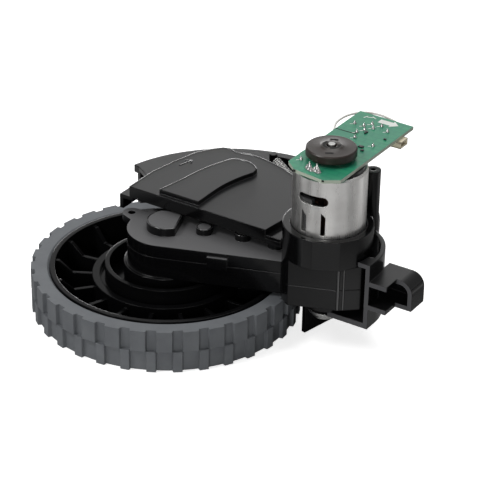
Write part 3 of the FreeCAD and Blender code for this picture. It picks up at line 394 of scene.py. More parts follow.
@dataclass
class Finishes:
    """Every finish of the module, by the record's material slot or by use."""

    made: dict[str, bpy.types.Material] = field(default_factory=dict)

    def build(self) -> None:
        """Build each material once."""
        plans: dict[str, Any] = {
            # Glossy black mouldings: dark walls with clear, soft reflections.
            "black_abs": MouldedAbs(),
            # The fender: its top is duller than its walls, and painted a shade paler as light from above.
            "fender_abs": MouldedAbs(level_colour="#131314", level_roughness=0.3),
            # The gearbox cover: a fine texture on its top, which is also painted mid grey below the motor
            # ring, as reflected light from above.
            "cover_abs_painted_top": MouldedAbs(level_colour="#5c5c5d", level_roughness=0.5, level_look_below_mm=33.0),
            # Painted highlight on the bracket walls' front ends: a pale grey, half matt.
            "painted_glint_abs": MouldedAbs(colour="#434345", flow="#4d4d4f", level_colour="#434345",
                                      roughness=0.45),
            # Rolled rims: bright, narrow glints along a polished edge.
            "rim_abs": MouldedAbs(level_colour="#1c1c1d", level_roughness=0.1, roughness=0.1, gloss=1.0,
                                  edge_mm=0.0),
            # The hub: deep black, with only a little shine.
            "hub_abs": MouldedAbs(colour="#0a0a0b", flow="#0d0d0e", level_colour="#0a0a0b", gloss=0.08),
            # Tread rubber: matt mid grey with faint dust.
            "grey_rubber": TreadRubber(),
            # Nickel plate on the motor can: bright satin with faint upright lines.
            "nickel_steel": PlatedSteel("#f1f0ee", "#dddbd8", 0.29),
            # Ground steel pins and screws: plain grey metal.
            "pin_steel": PlatedSteel("#c4c4c2", "#a8a8a6", 0.3),
            # Spring wire: grey metal without a direction.
            "spring_steel": PlatedSteel("#b9b9b7", "#9c9c9a", 0.25, stretch=(1, 1, 1)),
            # Acetal gears: ivory, half matt.
            "gear_resin": PlainMoulding("#e2ddd0", "#d2ccbd", 0.42),
            # Sintered bronze: warm, porous metal.
            "bearing_bronze": PlainMoulding("#b98d52", "#9f7743", 0.4, 1.0),
            # Ferrite magnets: dull dark grey.
            "magnet": PlainMoulding("#3c3c3d", "#2f2f30", 0.6),
            # Lacquered windings over a steel core: brown metal in patches.
            "winding": PlainMoulding("#4b4541", "#6b4630", 0.4, 0.8, 0.6),
            # Solder mask: glossy green with pale cut edges.
            "board_green": SolderMask(),
            # Bonded ferrite of the encoder disc: brownish black with a soft shine.
            "disc_brown": PlainMoulding("#2a201a", "#231b16", 0.36, 0.0, 0.25, 0.3),
            # Painted shade: nearly black and matt, for the disc's slots and hub, the board's break groove
            # and its edge tabs.
            "shadow_brown": PlainMoulding("#0d0b0a", "#12100e", 0.8, 0.0, 0.25, 0.0),
            # Nylon of the wire header: warm cream.
            "cream_nylon": PlainMoulding("#e8dfc6", "#dcd2b6", 0.45),
            # Epoxy of sensors and chips: dark grey, half matt.
            "sensor_black": PlainMoulding("#232324", "#2b2b2c", 0.4),
            # Wire insulation: smooth off-white.
            "wire_white": PlainMoulding("#ecebe7", "#dedcd6", 0.4),
            # Solder: bright rounded metal.
            "solder_tin": PlainMoulding("#d4d4d2", "#b9b9b7", 0.25, 1.0, 0.3),
            # Silk-screen ink: flat white.
            "print_white": PlainMoulding("#eceee9", "#dfe2dc", 0.6, 0.0, 0.3, 0.0),
        }
        for name, plan in plans.items():
            self.made[name] = plan.build(name)

    def __getitem__(self, name: str) -> bpy.types.Material:
        """Return one material by name."""
        return self.made[name]


def dress(obj: bpy.types.Object, material: bpy.types.Material) -> None:
    """Give every slot of an object one material.

    Args:
        obj: The object.
        material: Its finish.
    """
    if not obj.material_slots:
        obj.data.materials.append(material)
    for item in obj.material_slots:
        item.material = material


def piece(name: str, mesh: bmesh.types.BMesh, body: Body | None, material: bpy.types.Material,
          smooth: bool = True) -> bpy.types.Object:
    """Turn a bmesh in millimetres into a piece that rides on a body.

    Args:
        name: The piece's name.
        mesh: Its shape, freed here.
        body: What it rides on, or None for a piece that rides on no body.
        material: Its finish.
        smooth: Whether its faces are shaded smooth.

    Returns:
        The object.
    """
    bmesh.ops.remove_doubles(mesh, verts=mesh.verts, dist=MERGE)
    bmesh.ops.recalc_face_normals(mesh, faces=mesh.faces)
    bmesh.ops.scale(mesh, vec=(MM, MM, MM), verts=mesh.verts)
    data = bpy.data.meshes.new(name)
    mesh.to_mesh(data)
    mesh.free()
    for face in data.polygons:
        face.use_smooth = smooth
    if smooth:
        data.set_sharp_from_angle(angle=CRISP)
    obj = bpy.data.objects.new(name, data)
    bpy.context.scene.collection.objects.link(obj)
    dress(obj, material)
    if body is not None:
        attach(obj, body.value)
    LOG.info("%s: %d faces", name, len(data.polygons))
    return obj


def block(mesh: bmesh.types.BMesh, centre: Point, size: Point, turn: float = 0.0, edge: float = 0.1) -> None:
    """Add a cube with bevelled edges.

    Args:
        mesh: Where it is added.
        centre: Its middle in millimetres.
        size: Its sides.
        turn: Turn about the vertical in degrees.
        edge: Bevel width.
    """
    verts = bmesh.ops.create_cube(mesh, size=1.0)["verts"]
    bmesh.ops.scale(mesh, vec=size, verts=verts)
    bmesh.ops.rotate(mesh, cent=ORIGIN, matrix=Matrix.Rotation(math.radians(turn), 3, "Z"), verts=verts)
    bmesh.ops.translate(mesh, vec=centre, verts=verts)
    edges = list(dict.fromkeys(e for v in verts for e in v.link_edges))
    bmesh.ops.bevel(mesh, geom=edges, offset=edge, affect="EDGES", segments=2, profile=0.5, material=-1)


def dome(mesh: bmesh.types.BMesh, centre: Point, radius: float, height: float) -> None:
    """Add a flattened ball, as a solder joint is.

    Args:
        mesh: Where it is added.
        centre: Its middle in millimetres.
        radius: Its radius.
        height: How far it rises.
    """
    verts = bmesh.ops.create_uvsphere(mesh, u_segments=14, v_segments=8, radius=1.0)["verts"]
    bmesh.ops.scale(mesh, vec=(radius, radius, height), verts=verts)
    bmesh.ops.translate(mesh, vec=centre, verts=verts)


def bar(mesh: bmesh.types.BMesh, centre: Point, radius: float, length: float, sides: int,
        tip: float | None = None, lying: bool = False) -> None:
    """Add a closed round bar or a slim cone.

    Args:
        mesh: Where it is added.
        centre: Its middle in millimetres.
        radius: Its radius, at the foot.
        length: Its length.
        sides: Facets round it.
        tip: Its radius at the top, or None for the same all along.
        lying: Whether it lies along X instead of standing up.
    """
    verts = bmesh.ops.create_cone(mesh, cap_ends=True, segments=sides, radius1=radius,
                                  radius2=radius if tip is None else tip, depth=length)["verts"]
    if lying:
        bmesh.ops.rotate(mesh, cent=ORIGIN, matrix=Matrix.Rotation(math.radians(90), 3, "Y"), verts=verts)
    bmesh.ops.translate(mesh, vec=centre, verts=verts)


def prism(mesh: bmesh.types.BMesh, corners: list[Pair], low: float, high: float) -> None:
    """Raise a flat outline between two heights.

    Args:
        mesh: Where it is added.
        corners: The outline's corners in millimetres.
        low: Height of its underside.
        high: Height of its top.
    """
    face = mesh.faces.new([mesh.verts.new((x, y, low)) for x, y in corners])
    made = bmesh.ops.extrude_face_region(mesh, geom=[face], use_keep_orig=True)
    raised = [v for v in made["geom"] if isinstance(v, bmesh.types.BMVert)]
    bmesh.ops.translate(mesh, vec=(0, 0, high - low), verts=raised)


def turned(mesh: bmesh.types.BMesh, profile: tuple[Pair, ...], centre: Pair, steps: int) -> None:
    """Turn a closed profile once round an upright axis.

    Args:
        mesh: Where it is added.
        profile: Radius and height of each corner in millimetres.
        centre: Where the axis stands.
        steps: Facets round the turn.
    """
    verts = [mesh.verts.new((centre[0] + radius, centre[1], height)) for radius, height in profile]
    edges = [mesh.edges.new(pair) for pair in zip(verts, verts[1:] + verts[:1])]
    bmesh.ops.spin(mesh, geom=verts + edges, cent=(*centre, 0), axis=(0, 0, 1), angle=math.tau,
                   steps=steps, use_merge=True)


def swept(mesh: bmesh.types.BMesh, route: list[Point], radius: float, line: Line, steps: int) -> None:
    """Sweep a round section along a route.

    Args:
        mesh: Where it is added.
        route: The route's points in millimetres.
        radius: The section's radius.
        line: How the route runs from point to point.
        steps: Points from one of the route's points to the next.
    """
    curve = bpy.data.curves.new("route", "CURVE")
    curve.dimensions = "3D"
    curve.bevel_depth = radius
    curve.bevel_resolution = 3
    curve.use_fill_caps = True
    spline = curve.splines.new(line.value)
    spline.points.add(len(route) - 1)
    for point, spot in zip(spline.points, route):
        point.co = (*spot, 1.0)
    spline.order_u = 3
    spline.use_endpoint_u = True
    spline.resolution_u = steps
    holder = bpy.data.objects.new("route", curve)
    data = bpy.data.meshes.new_from_object(holder)
    mesh.from_mesh(data)
    bpy.data.objects.remove(holder)
    bpy.data.curves.remove(curve)
    bpy.data.meshes.remove(data)


def extent(node: str) -> tuple[Vector, Vector]:
    """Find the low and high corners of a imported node.

    Args:
        node: The node's name.

    Returns:
        Both corners in millimetres.
    """
    spots = [v.co / MM for v in frame["nodes"][node].data.vertices]
    low = Vector([min(p[i] for p in spots) for i in range(3)])
    high = Vector([max(p[i] for p in spots) for i in range(3)])
    return low, high


def middle(node: str) -> Vector:
    """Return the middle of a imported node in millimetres."""
    low, high = extent(node)
    return (low + high) / 2


def heading(degrees: float) -> Vector:
    """Return the level direction at an angle from X."""
    return Vector((math.cos(math.radians(degrees)), math.sin(math.radians(degrees))))


def levels(node: str) -> list[float]:
    """Find the heights of a node's level faces, the largest in area first.

    Args:
        node: The node's name.

    Returns:
        The heights in millimetres.
    """
    areas: dict[float, float] = {}
    for face in frame["nodes"][node].data.polygons:
        if face.normal.z > LEVEL:
            level = round(face.center.z / MM, 2)
            areas[level] = areas.get(level, 0.0) + face.area
    return sorted(areas, key=areas.get, reverse=True)


@dataclass
class SwingSpring:
    """The extension spring between the housing's post and the gearbox's lug."""

    coil_radius: float = 1.44
    wire_radius: float = 0.26
    hook: float = 1.4
    pitch: float = 0.98
    steps_per_turn: int = 14
    wire_sides: int = 8
    hook_sides: int = 10

    def build(self, finishes: Finishes) -> None:
        """Wind the coils and both hooks, and hide the plain tube.

        Args:
            finishes: The module's materials.
        """
        start, end = self.ends()
        along = (end - start).normalized()
        length = (end - start).length - 2 * self.hook
        mesh = bmesh.new()
        self.wind(mesh, int(length / self.pitch), length)
        turn = Vector((0, 0, 1)).rotation_difference(along).to_matrix()
        bmesh.ops.rotate(mesh, cent=ORIGIN, matrix=turn, verts=mesh.verts)
        bmesh.ops.translate(mesh, vec=start + along * self.hook, verts=mesh.verts)
        obj = piece("swing_spring_coils", mesh, None, finishes["spring_steel"])
        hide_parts("swing_spring")
        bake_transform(obj)

    def ends(self) -> tuple[Vector, Vector]:
        """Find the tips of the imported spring's two hooks.

        Returns:
            The left and the right tip in millimetres.
        """
        spots = [v.co / MM for v in frame["nodes"]["swing_spring"].data.vertices]
        left, right = min(p.x for p in spots), max(p.x for p in spots)
        tips = [[p for p in spots if abs(p.x - side) < 2 * self.wire_radius] for side in (left, right)]
        return tuple(sum(tip, Vector()) / len(tip) for tip in tips)

    def wind(self, mesh: bmesh.types.BMesh, turns: int, length: float) -> None:
        """Spin a round section into a close helix with straight hooks.

        Args:
            mesh: Where it is made, along +Z.
            turns: How many turns.
            length: Length of the coils.
        """
        steps = self.steps_per_turn * turns
        verts = bmesh.ops.create_circle(mesh, segments=self.wire_sides, radius=self.wire_radius)["verts"]
        bmesh.ops.rotate(mesh, cent=ORIGIN, matrix=Matrix.Rotation(math.radians(90), 3, "X"), verts=verts)
        bmesh.ops.translate(mesh, vec=(self.coil_radius, 0, 0), verts=verts)
        edges = list(dict.fromkeys(e for v in verts for e in v.link_edges))
        bmesh.ops.spin(mesh, geom=verts + edges, cent=ORIGIN, axis=(0, 0, 1), dvec=(0, 0, length / steps),
                       angle=math.radians(360 * turns), steps=steps, use_merge=False)
        bmesh.ops.holes_fill(mesh, edges=mesh.edges, sides=self.wire_sides)
        for foot, way in ((0.0, -1), (length, 1)):
            bar(mesh, (self.coil_radius / 2, 0, foot), self.wire_radius,
                self.coil_radius + self.wire_radius, self.hook_sides, lying=True)
            bar(mesh, (0, 0, foot + way * self.hook / 2), self.wire_radius, self.hook, self.hook_sides)


@dataclass
class EncoderDisc:
    """The magnetic encoder disc with its raised hub and sunk centre, and painted shade for its two moulded
    slots and beside its hub.
    """

    edge: float = 0.35
    hub: float = 3.0
    hub_rise: float = 0.4
    hub_slope: float = 0.5
    hub_edge: Pair = (0.2, 0.1)
    sink: float = 1.35
    sink_edge: float = 0.3
    facets: int = 72
    # Each slot's place from the disc's middle and its turn, then its two blocks' heights and sizes; the
    # blocks are painted shade in the slot.
    slots: tuple[Point, ...] = ((-1.45, 3.94, 25.0), (1.75, -4.22, 30.0))
    slot_shapes: tuple[tuple[float, Point], ...] = ((0.01, (2.3, 0.95, 0.06)), (0.03, (1.5, 0.3, 0.08)))
    slot_edge: float = 0.02
    # Each painted shade strip's start and sweep in degrees, and its inner and outer radius.
    shade_crescents: tuple[Pair, ...] = ((150.0, 120.0), (-70.0, 110.0))
    crescent_reach: Pair = (1.75, 2.6)
    crescent_steps: int = 16
    proud: float = 0.01

    def build(self, finishes: Finishes) -> None:
        """Turn the disc and set its slots.

        Args:
            finishes: The module's materials.
        """
        low, high = extent("encoder_disc")
        x, y, _ = middle("encoder_disc")
        radius = (high.x - low.x) / 2
        face = high.z - self.hub_rise
        inward, down = self.hub_edge
        profile = (
            (self.sink, low.z), (radius - self.edge, low.z), (radius, low.z + self.edge),
            (radius, face - self.edge), (radius - self.edge, face), (self.hub + self.hub_slope, face),
            (self.hub, high.z - down), (self.hub - inward, high.z),
            (self.sink + self.sink_edge, high.z), (self.sink, high.z - self.sink_edge),
        )
        mesh = bmesh.new()
        turned(mesh, profile, (x, y), self.facets)
        disc = piece("encoder_disc_turned", mesh, Body.ROTOR, finishes["disc_brown"])
        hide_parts("encoder_disc")
        # Dark blocks and strips on the disc: painted shade of the slots and beside the hub.
        marks = bmesh.new()
        for across, deep, turn in self.slots:
            for proud, size in self.slot_shapes:
                block(marks, (x + across, y + deep, face + proud), size, turn, self.slot_edge)
        for start, sweep in self.shade_crescents:
            self.crescent(marks, (x, y, high.z + self.proud), start, sweep)
        piece("encoder_disc_slots", marks, Body.ROTOR, finishes["shadow_brown"], smooth=False)

    def crescent(self, mesh: bmesh.types.BMesh, centre: Point, start: float, sweep: float) -> None:
        """Spin a thin strip through part of a turn, as painted shade on the shaded side of the raised hub.

        Args:
            mesh: Where it is added.
            centre: The disc's middle at the groove's height, in millimetres.
            start: Where the strip starts, in degrees.
            sweep: How far it goes round, in degrees.
        """
        way = heading(start).to_3d()
        verts = [mesh.verts.new(Vector(centre) + way * reach) for reach in self.crescent_reach]
        edge = mesh.edges.new(verts)
        bmesh.ops.spin(mesh, geom=[*verts, edge], cent=centre, axis=(0, 0, 1), angle=math.radians(sweep),
                       steps=self.crescent_steps, use_merge=False)


@dataclass
class BoardDress:
    """Solder, parts, print, and painted shade at the break groove and the edge tabs on the encoder board."""

    joints: tuple[Pair, ...] = (
        (43.9, 31.4), (46.9, 31.5), (48.3, 33.8), (49.9, 31.6), (51.2, 34.2),
        (48.5, 29.1), (47.3, 26.7), (48.6, 23.4), (54.4, 31.9), (55.5, 21.6), (43.3, 2.8),
    )
    joint_radius: float = 0.55
    joint_rise: float = 0.8
    pin_radii: Pair = (0.3, 0.14)  # at the foot and at the tip
    pin_foot: float = 0.3
    pin_sides: int = 12
    # Each chip's place, width and depth.
    chips: tuple[tuple[float, float, float, float], ...] = (
        (53.0, 19.2, 1.5, 1.0), (54.4, 17.4, 0.9, 0.7), (56.2, 27.2, 0.8, 0.5), (49.6, 28.0, 0.5, 1.6),
    )
    chip_height: float = 0.4
    chip_edge: float = 0.06
    edge_tabs: tuple[Pair, ...] = ((44.9, -3.5), (54.6, -4.3), (58.2, -1.3))
    tab_size: Point = (0.7, 0.5, 0.56)
    tab_sunk: float = 0.3
    tab_turn: float = 15.0
    tab_edge: float = 0.04
    arrow_place: Pair = (51.9, 37.2)
    arrow_length: float = 6.2
    arrow_neck: float = 0.15
    arrow_half: Pair = (1.1, 2.0)  # half the shaft's and the head's width
    ink: float = 0.04
    ink_level: float = 0.02
    ink_edge: float = 0.01
    dash: Pair = (0.9, 0.22)
    dash_place: Point = (-0.8, -0.5, 30.0)  # from the joint, and its turn
    stroke: Pair = (1.6, 0.32)  # each stands at x and y with a turn
    strokes: tuple[Point, ...] = ((44.2, 37.3, 70.0), (45.4, 37.7, 22.0), (46.6, 38.1, -26.0))
    groove: Pair = (44.3, 25.8)
    groove_size: Point = (7.0, 0.34, 0.04)
    groove_level: float = 0.01

    def build(self, finishes: Finishes) -> None:
        """Add the solder joints, the small parts, the print, and the painted shade of the edge tabs and the
        groove.

        Args:
            finishes: The module's materials.
        """
        top = extent("encoder_board")[1].z
        solder = bmesh.new()
        for x, y in self.joints:
            dome(solder, (x, y, top), self.joint_radius, self.joint_rise)
            bar(solder, (x, y, top + self.pin_foot + self.joint_rise / 2), self.pin_radii[0],
                self.joint_rise, self.pin_sides, tip=self.pin_radii[1])
        piece("board_solder", solder, Body.ARM, finishes["solder_tin"])
        parts = bmesh.new()
        for x, y, wide, deep in self.chips:
            block(parts, (x, y, top + self.chip_height / 2), (wide, deep, self.chip_height),
                  edge=self.chip_edge)
        piece("board_parts", parts, Body.ARM, finishes["sensor_black"])
        # Dark tabs at the board's edge: painted shade.
        tabs = bmesh.new()
        for x, y in self.edge_tabs:
            block(tabs, (x, y, top - self.tab_sunk), self.tab_size, self.tab_turn, self.tab_edge)
        piece("board_edge_tabs", tabs, Body.ARM, finishes["shadow_brown"], smooth=False)
        marks = bmesh.new()
        self.print_marks(marks, top)
        piece("board_print", marks, Body.ARM, finishes["print_white"], smooth=False)
        # A dark strip along the break groove: painted shade.
        groove = bmesh.new()
        block(groove, (*self.groove, top + self.groove_level), self.groove_size, edge=self.ink_edge)
        piece("board_break_line", groove, Body.ARM, finishes["shadow_brown"], smooth=False)

    def print_marks(self, mesh: bmesh.types.BMesh, top: float) -> None:
        """Print a broad arrow, a short dash beside each joint and three strokes.

        Args:
            mesh: Where they are added.
            top: Height of the board's face.
        """
        level = top + self.ink_level
        x, y = self.arrow_place
        shaft, head = self.arrow_half
        half, neck = self.arrow_length / 2, self.arrow_length * self.arrow_neck
        arrow = [(x - half, y - shaft), (x + neck, y - shaft), (x + neck, y - head), (x + half, y),
                 (x + neck, y + head), (x + neck, y + shaft), (x - half, y + shaft)]
        prism(mesh, arrow, top, level + self.ink)
        across, deep, turn = self.dash_place
        for x, y in self.joints:
            block(mesh, (x + across, y + deep, level), (*self.dash, self.ink), turn, self.ink_edge)
        for x, y, turn in self.strokes:
            block(mesh, (x, y, level), (*self.stroke, self.ink), turn, self.ink_edge)


@dataclass
class TerminalSolder:
    """The peaked solder that holds each motor terminal in the board."""

    foot: float = 1.0
    foot_rise: float = 0.7
    peak_radii: Pair = (0.85, 0.1)  # at the foot and at the tip
    peak_foot: float = 0.1
    # Each peak's place from the terminal and its rise.
    peaks: tuple[Point, ...] = ((0.0, 0.0, 2.3), (-0.8, 0.35, 1.2), (0.75, -0.4, 1.5))
    peak_sides: int = 12

    def build(self, finishes: Finishes) -> None:
        """Pile solder peaks round both terminals.

        Args:
            finishes: The module's materials.
        """
        top = extent("encoder_board")[1].z
        mesh = bmesh.new()
        for node in ("motor_terminal_left", "motor_terminal_right"):
            x, y, _ = middle(node)
            dome(mesh, (x, y, top), self.foot, self.foot_rise)
            for across, deep, rise in self.peaks:
                bar(mesh, (x + across, y + deep, top + self.peak_foot + rise / 2), self.peak_radii[0],
                    rise, self.peak_sides, tip=self.peak_radii[1])
        solder = piece("terminal_solder", mesh, Body.ARM, finishes["solder_tin"])
        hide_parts("motor_terminal_left", "motor_terminal_right")


@dataclass
class RolledRims:
    """Rolled top edges, as beads along the edges between level tops and upright walls."""

    name: str
    node: str
    body: Body
    rise: Pair  # which level tops count, measured from the largest one
    radius: float
    away: Point  # the way that the walls face
    least: float  # how closely they have to face it, as a cosine
    sunk: float = 0.2
    merge: float = 0.001
    reach: float = 0.02
    upright: float = 0.3

    def build(self, finishes: Finishes) -> None:
        """Lay a bead along each run of the edges.

        Args:
            finishes: The module's materials.
        """
        heights = levels(self.node)
        main = heights[0]
        heights = [level for level in heights if self.rise[0] < level - main < self.rise[1]]
        source = bmesh.new()
        source.from_mesh(frame["nodes"][self.node].data)
        bmesh.ops.remove_doubles(source, verts=source.verts, dist=self.merge * MM)
        beads = bmesh.new()
        for run in self.runs(source, heights):
            swept(beads, run, self.radius, Line.STRAIGHT, 1)
        source.free()
        piece(self.name, beads, self.body, finishes["rim_abs"])

    def runs(self, source: bmesh.types.BMesh, heights: list[float]) -> list[list[Point]]:
        """Join the rolled edges to the bead's runs.

        Args:
            source: The node's merged mesh.
            heights: Heights of the level tops in millimetres.

        Returns:
            The runs' points in millimetres.
        """
        rest = [edge for edge in source.edges if self.rolled(edge, heights)]
        lean: dict[int, Vector] = {}
        for edge in rest:
            wall = min(edge.link_faces, key=lambda face: face.normal.z).normal
            for vert in edge.verts:
                lean[vert.index] = lean.get(vert.index, Vector()) + wall
        runs = []
        while rest:
            line = list(rest.pop(0).verts)
            grown = True
            while grown:
                grown = False
                for edge in rest:
                    if line[-1] in edge.verts:
                        line.append(edge.other_vert(line[-1]))
                    elif line[0] in edge.verts:
                        line.insert(0, edge.other_vert(line[0]))
                    else:
                        continue
                    rest.remove(edge)
                    grown = True
                    break
            runs.append([tuple(vert.co / MM - lean[vert.index].normalized() * self.radius
                               - Vector((0, 0, self.sunk))) for vert in line])
        LOG.info("%s: %d runs at %s", self.name, len(runs), heights)
        return runs

    def rolled(self, edge: bmesh.types.BMEdge, heights: list[float]) -> bool:
        """Tell whether an edge is one of the rolled ones.

        Args:
            edge: An edge of the node.
            heights: Heights of the level tops in millimetres.

        Returns:
            True for a convex edge between a level top and a wall that faces away.
        """
        if len(edge.link_faces) != 2 or not edge.is_convex:
            return False
        wall, top = sorted(edge.link_faces, key=lambda face: face.normal.z)
        near = any(all(abs(vert.co.z / MM - height) < self.reach for vert in edge.verts)
                   for height in heights)
        square = top.normal.z > LEVEL and abs(wall.normal.z) < self.upright
        return near and square and wall.normal.dot(Vector(self.away)) > self.least


@dataclass
class PlateArrow:
    """A small plain arrow that stands raised on the fender."""

    place: Pair = (-11.3, 26.6)
    length: float = 5.2
    stroke: float = 0.45
    rise: float = 0.12
    turn: float = 75.0
    head_turn: float = 40.0
    head_length: float = 0.42
    head_middle: float = 0.2
    edge: float = 0.05

    def build(self, finishes: Finishes) -> None:
        """Lay the shaft and both strokes of the head.

        Args:
            finishes: The module's materials.
        """
        level = levels("housing")[0]
        mesh = bmesh.new()
        block(mesh, (*self.place, level), (self.length, self.stroke, self.rise * 2), self.turn, self.edge)
        tip = Vector(self.place) + heading(self.turn) * self.length / 2
        for side in (-1, 1):
            lean = self.turn + 180 + side * self.head_turn
            spot = tip + heading(lean) * self.length * self.head_middle
            block(mesh, (*spot, level), (self.length * self.head_length, self.stroke, self.rise * 2),
                  lean, self.edge)
        piece("fender_arrow", mesh, Body.HOUSING, finishes["black_abs"])


@dataclass
class PaintedGlintEnds:
    """The bracket walls' front ends, painted pale as the highlight they catch."""

    from_x: float = 52.0
    up_to_y: float = 12.0
    proud: float = 0.03
    forward: float = -0.98  # the most that a front face's normal may have along Y

    def build(self, finishes: Finishes) -> None:
        """Copy the walls' front faces and set them a hair forward.

        Args:
            finishes: The module's materials.
        """
        mesh = bmesh.new()
        mesh.from_mesh(frame["nodes"]["housing"].data)
        bmesh.ops.scale(mesh, vec=(1 / MM, 1 / MM, 1 / MM), verts=mesh.verts)
        rest = [face for face in mesh.faces if not self.front(face)]
        bmesh.ops.delete(mesh, geom=rest, context="FACES")
        bmesh.ops.translate(mesh, vec=(0, -self.proud, 0), verts=mesh.verts)
        # A pale copy of the front faces: painted highlight.
        ends = piece("bracket_wall_ends", mesh, Body.HOUSING, finishes["painted_glint_abs"],
                     smooth=False)
        for face in ends.data.polygons:
            if face.normal.y > 0:
                face.flip()

    def front(self, face: bmesh.types.BMFace) -> bool:
        """Tell whether a face is one of the walls' front ends.

        Args:
            face: A face of the housing in millimetres.

        Returns:
            True for a face that looks forward at the bracket.
        """
        spot = face.calc_center_median()
        return face.normal.y < self.forward and spot.x > self.from_x and spot.y < self.up_to_y


@dataclass
class DrumCorners:
    """The two rounded upright corners at the right end of the drum's flat front."""

    corners: tuple[Point, ...] = ((56.95, 2.6, 0.5), (58.3, 3.4, 0.32))  # x, y and radius
    bottom: float = 14.8
    top: float = 28.8
    sides: int = 20

    def build(self, finishes: Finishes) -> None:
        """Stand a slim round bar in each corner.

        Args:
            finishes: The module's materials.
        """
        mesh = bmesh.new()
        for x, y, radius in self.corners:
            bar(mesh, (x, y, (self.top + self.bottom) / 2), radius, self.top - self.bottom, self.sides)
        piece("drum_corners", mesh, Body.ARM, finishes["rim_abs"])


@dataclass
class FenderCollar:
    """The low ledge and skirt that carry the fender on to the motor drum."""

    level: float = 30.2
    left: float = 31.0
    front: float = 4.4
    back: float = 12.6
    clear: float = 13.6
    skirt_bottom: float = 27.6
    wall: float = 1.1
    steps: int = 8

    def build(self, finishes: Finishes) -> None:
        """Raise the ledge and its skirt.

        Args:
            finishes: The module's materials.
        """
        centre = middle("motor_can")
        first, last = (math.degrees(math.asin((edge - centre.y) / self.clear))
                       for edge in (self.front, self.back))
        arc = []
        for step in range(self.steps + 1):
            way = heading(180 - (first + (last - first) * step / self.steps))
            arc.append((centre.x + self.clear * way.x, centre.y + self.clear * way.y))
        mesh = bmesh.new()
        ledge = [(self.left, self.front), *arc, (self.left, self.back)]
        prism(mesh, ledge, self.level - self.wall, self.level)
        skirt = [(self.left, self.front), arc[0], (arc[0][0], self.front + self.wall),
                 (self.left, self.front + self.wall)]
        prism(mesh, skirt, self.skirt_bottom, self.level - self.wall)
        piece("fender_collar", mesh, Body.HOUSING, finishes["black_abs"], smooth=False)


@dataclass
class BoardPlug:
    """The cream wire header under the board's right edge, with its open mouth and lower latch."""

    width: float = 4.2
    depth: float = 3.4
    height: float = 2.1
    wall: float = 0.5
    inset: float = 0.3
    latch: Point = (1.6, 1.4, 0.9)
    latch_left: float = 0.4
    latch_below: float = 0.3

    def build(self, finishes: Finishes) -> None:
        """Build the shell from its five walls and the latch.

        Args:
            finishes: The module's materials.
        """
        low, high = extent("connector")
        y = (low.y + high.y) / 2
        right = high.x - self.inset
        left = right - self.depth
        top = high.z
        x = (left + right) / 2
        half = self.wall / 2
        lid = (self.depth, self.width, self.wall)
        mesh = bmesh.new()
        block(mesh, (x, y, top - half), lid)
        block(mesh, (x, y, top - self.height + half), lid)
        for side in (-1, 1):
            block(mesh, (x, y + side * (self.width - self.wall) / 2, top - self.height / 2),
                  (self.depth, self.wall, self.height))
        block(mesh, (left + half, y, top - self.height / 2), (self.wall, self.width, self.height))
        block(mesh, (x - self.latch_left, y, top - self.height - self.latch_below), self.latch)
        plug = piece("board_plug", mesh, Body.ARM, finishes["cream_nylon"], smooth=False)
        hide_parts("connector")


@dataclass
class JumperWire:
    """The insulated wire that bridges the board, as one smooth round tube."""

    radius: float = 0.34
    route: tuple[Pair, ...] = (
        (40.5, 25.6), (39.0, 28.2), (38.2, 32.0), (38.7, 36.6), (41.2, 40.7),
        (45.2, 42.0), (49.5, 41.4), (52.4, 40.3),
    )
    steps: int = 6

    def build(self, finishes: Finishes) -> None:
        """Sweep a round section along the smoothed route.

        Args:
            finishes: The module's materials.
        """
        level = middle("jumper_wire").z
        mesh = bmesh.new()
        swept(mesh, [(x, y, level) for x, y in self.route], self.radius, Line.SMOOTH, self.steps)
        wire = piece("jumper_wire_round", mesh, Body.ARM, finishes["wire_white"])
        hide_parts("jumper_wire")


@dataclass(frozen=True)
class SoftBox:
    """One soft lamp: its place and width in millimetres, its power, and its height to its width."""

    name: str
    place: Point
    width: float
    watts: float
    share: float = 1.0


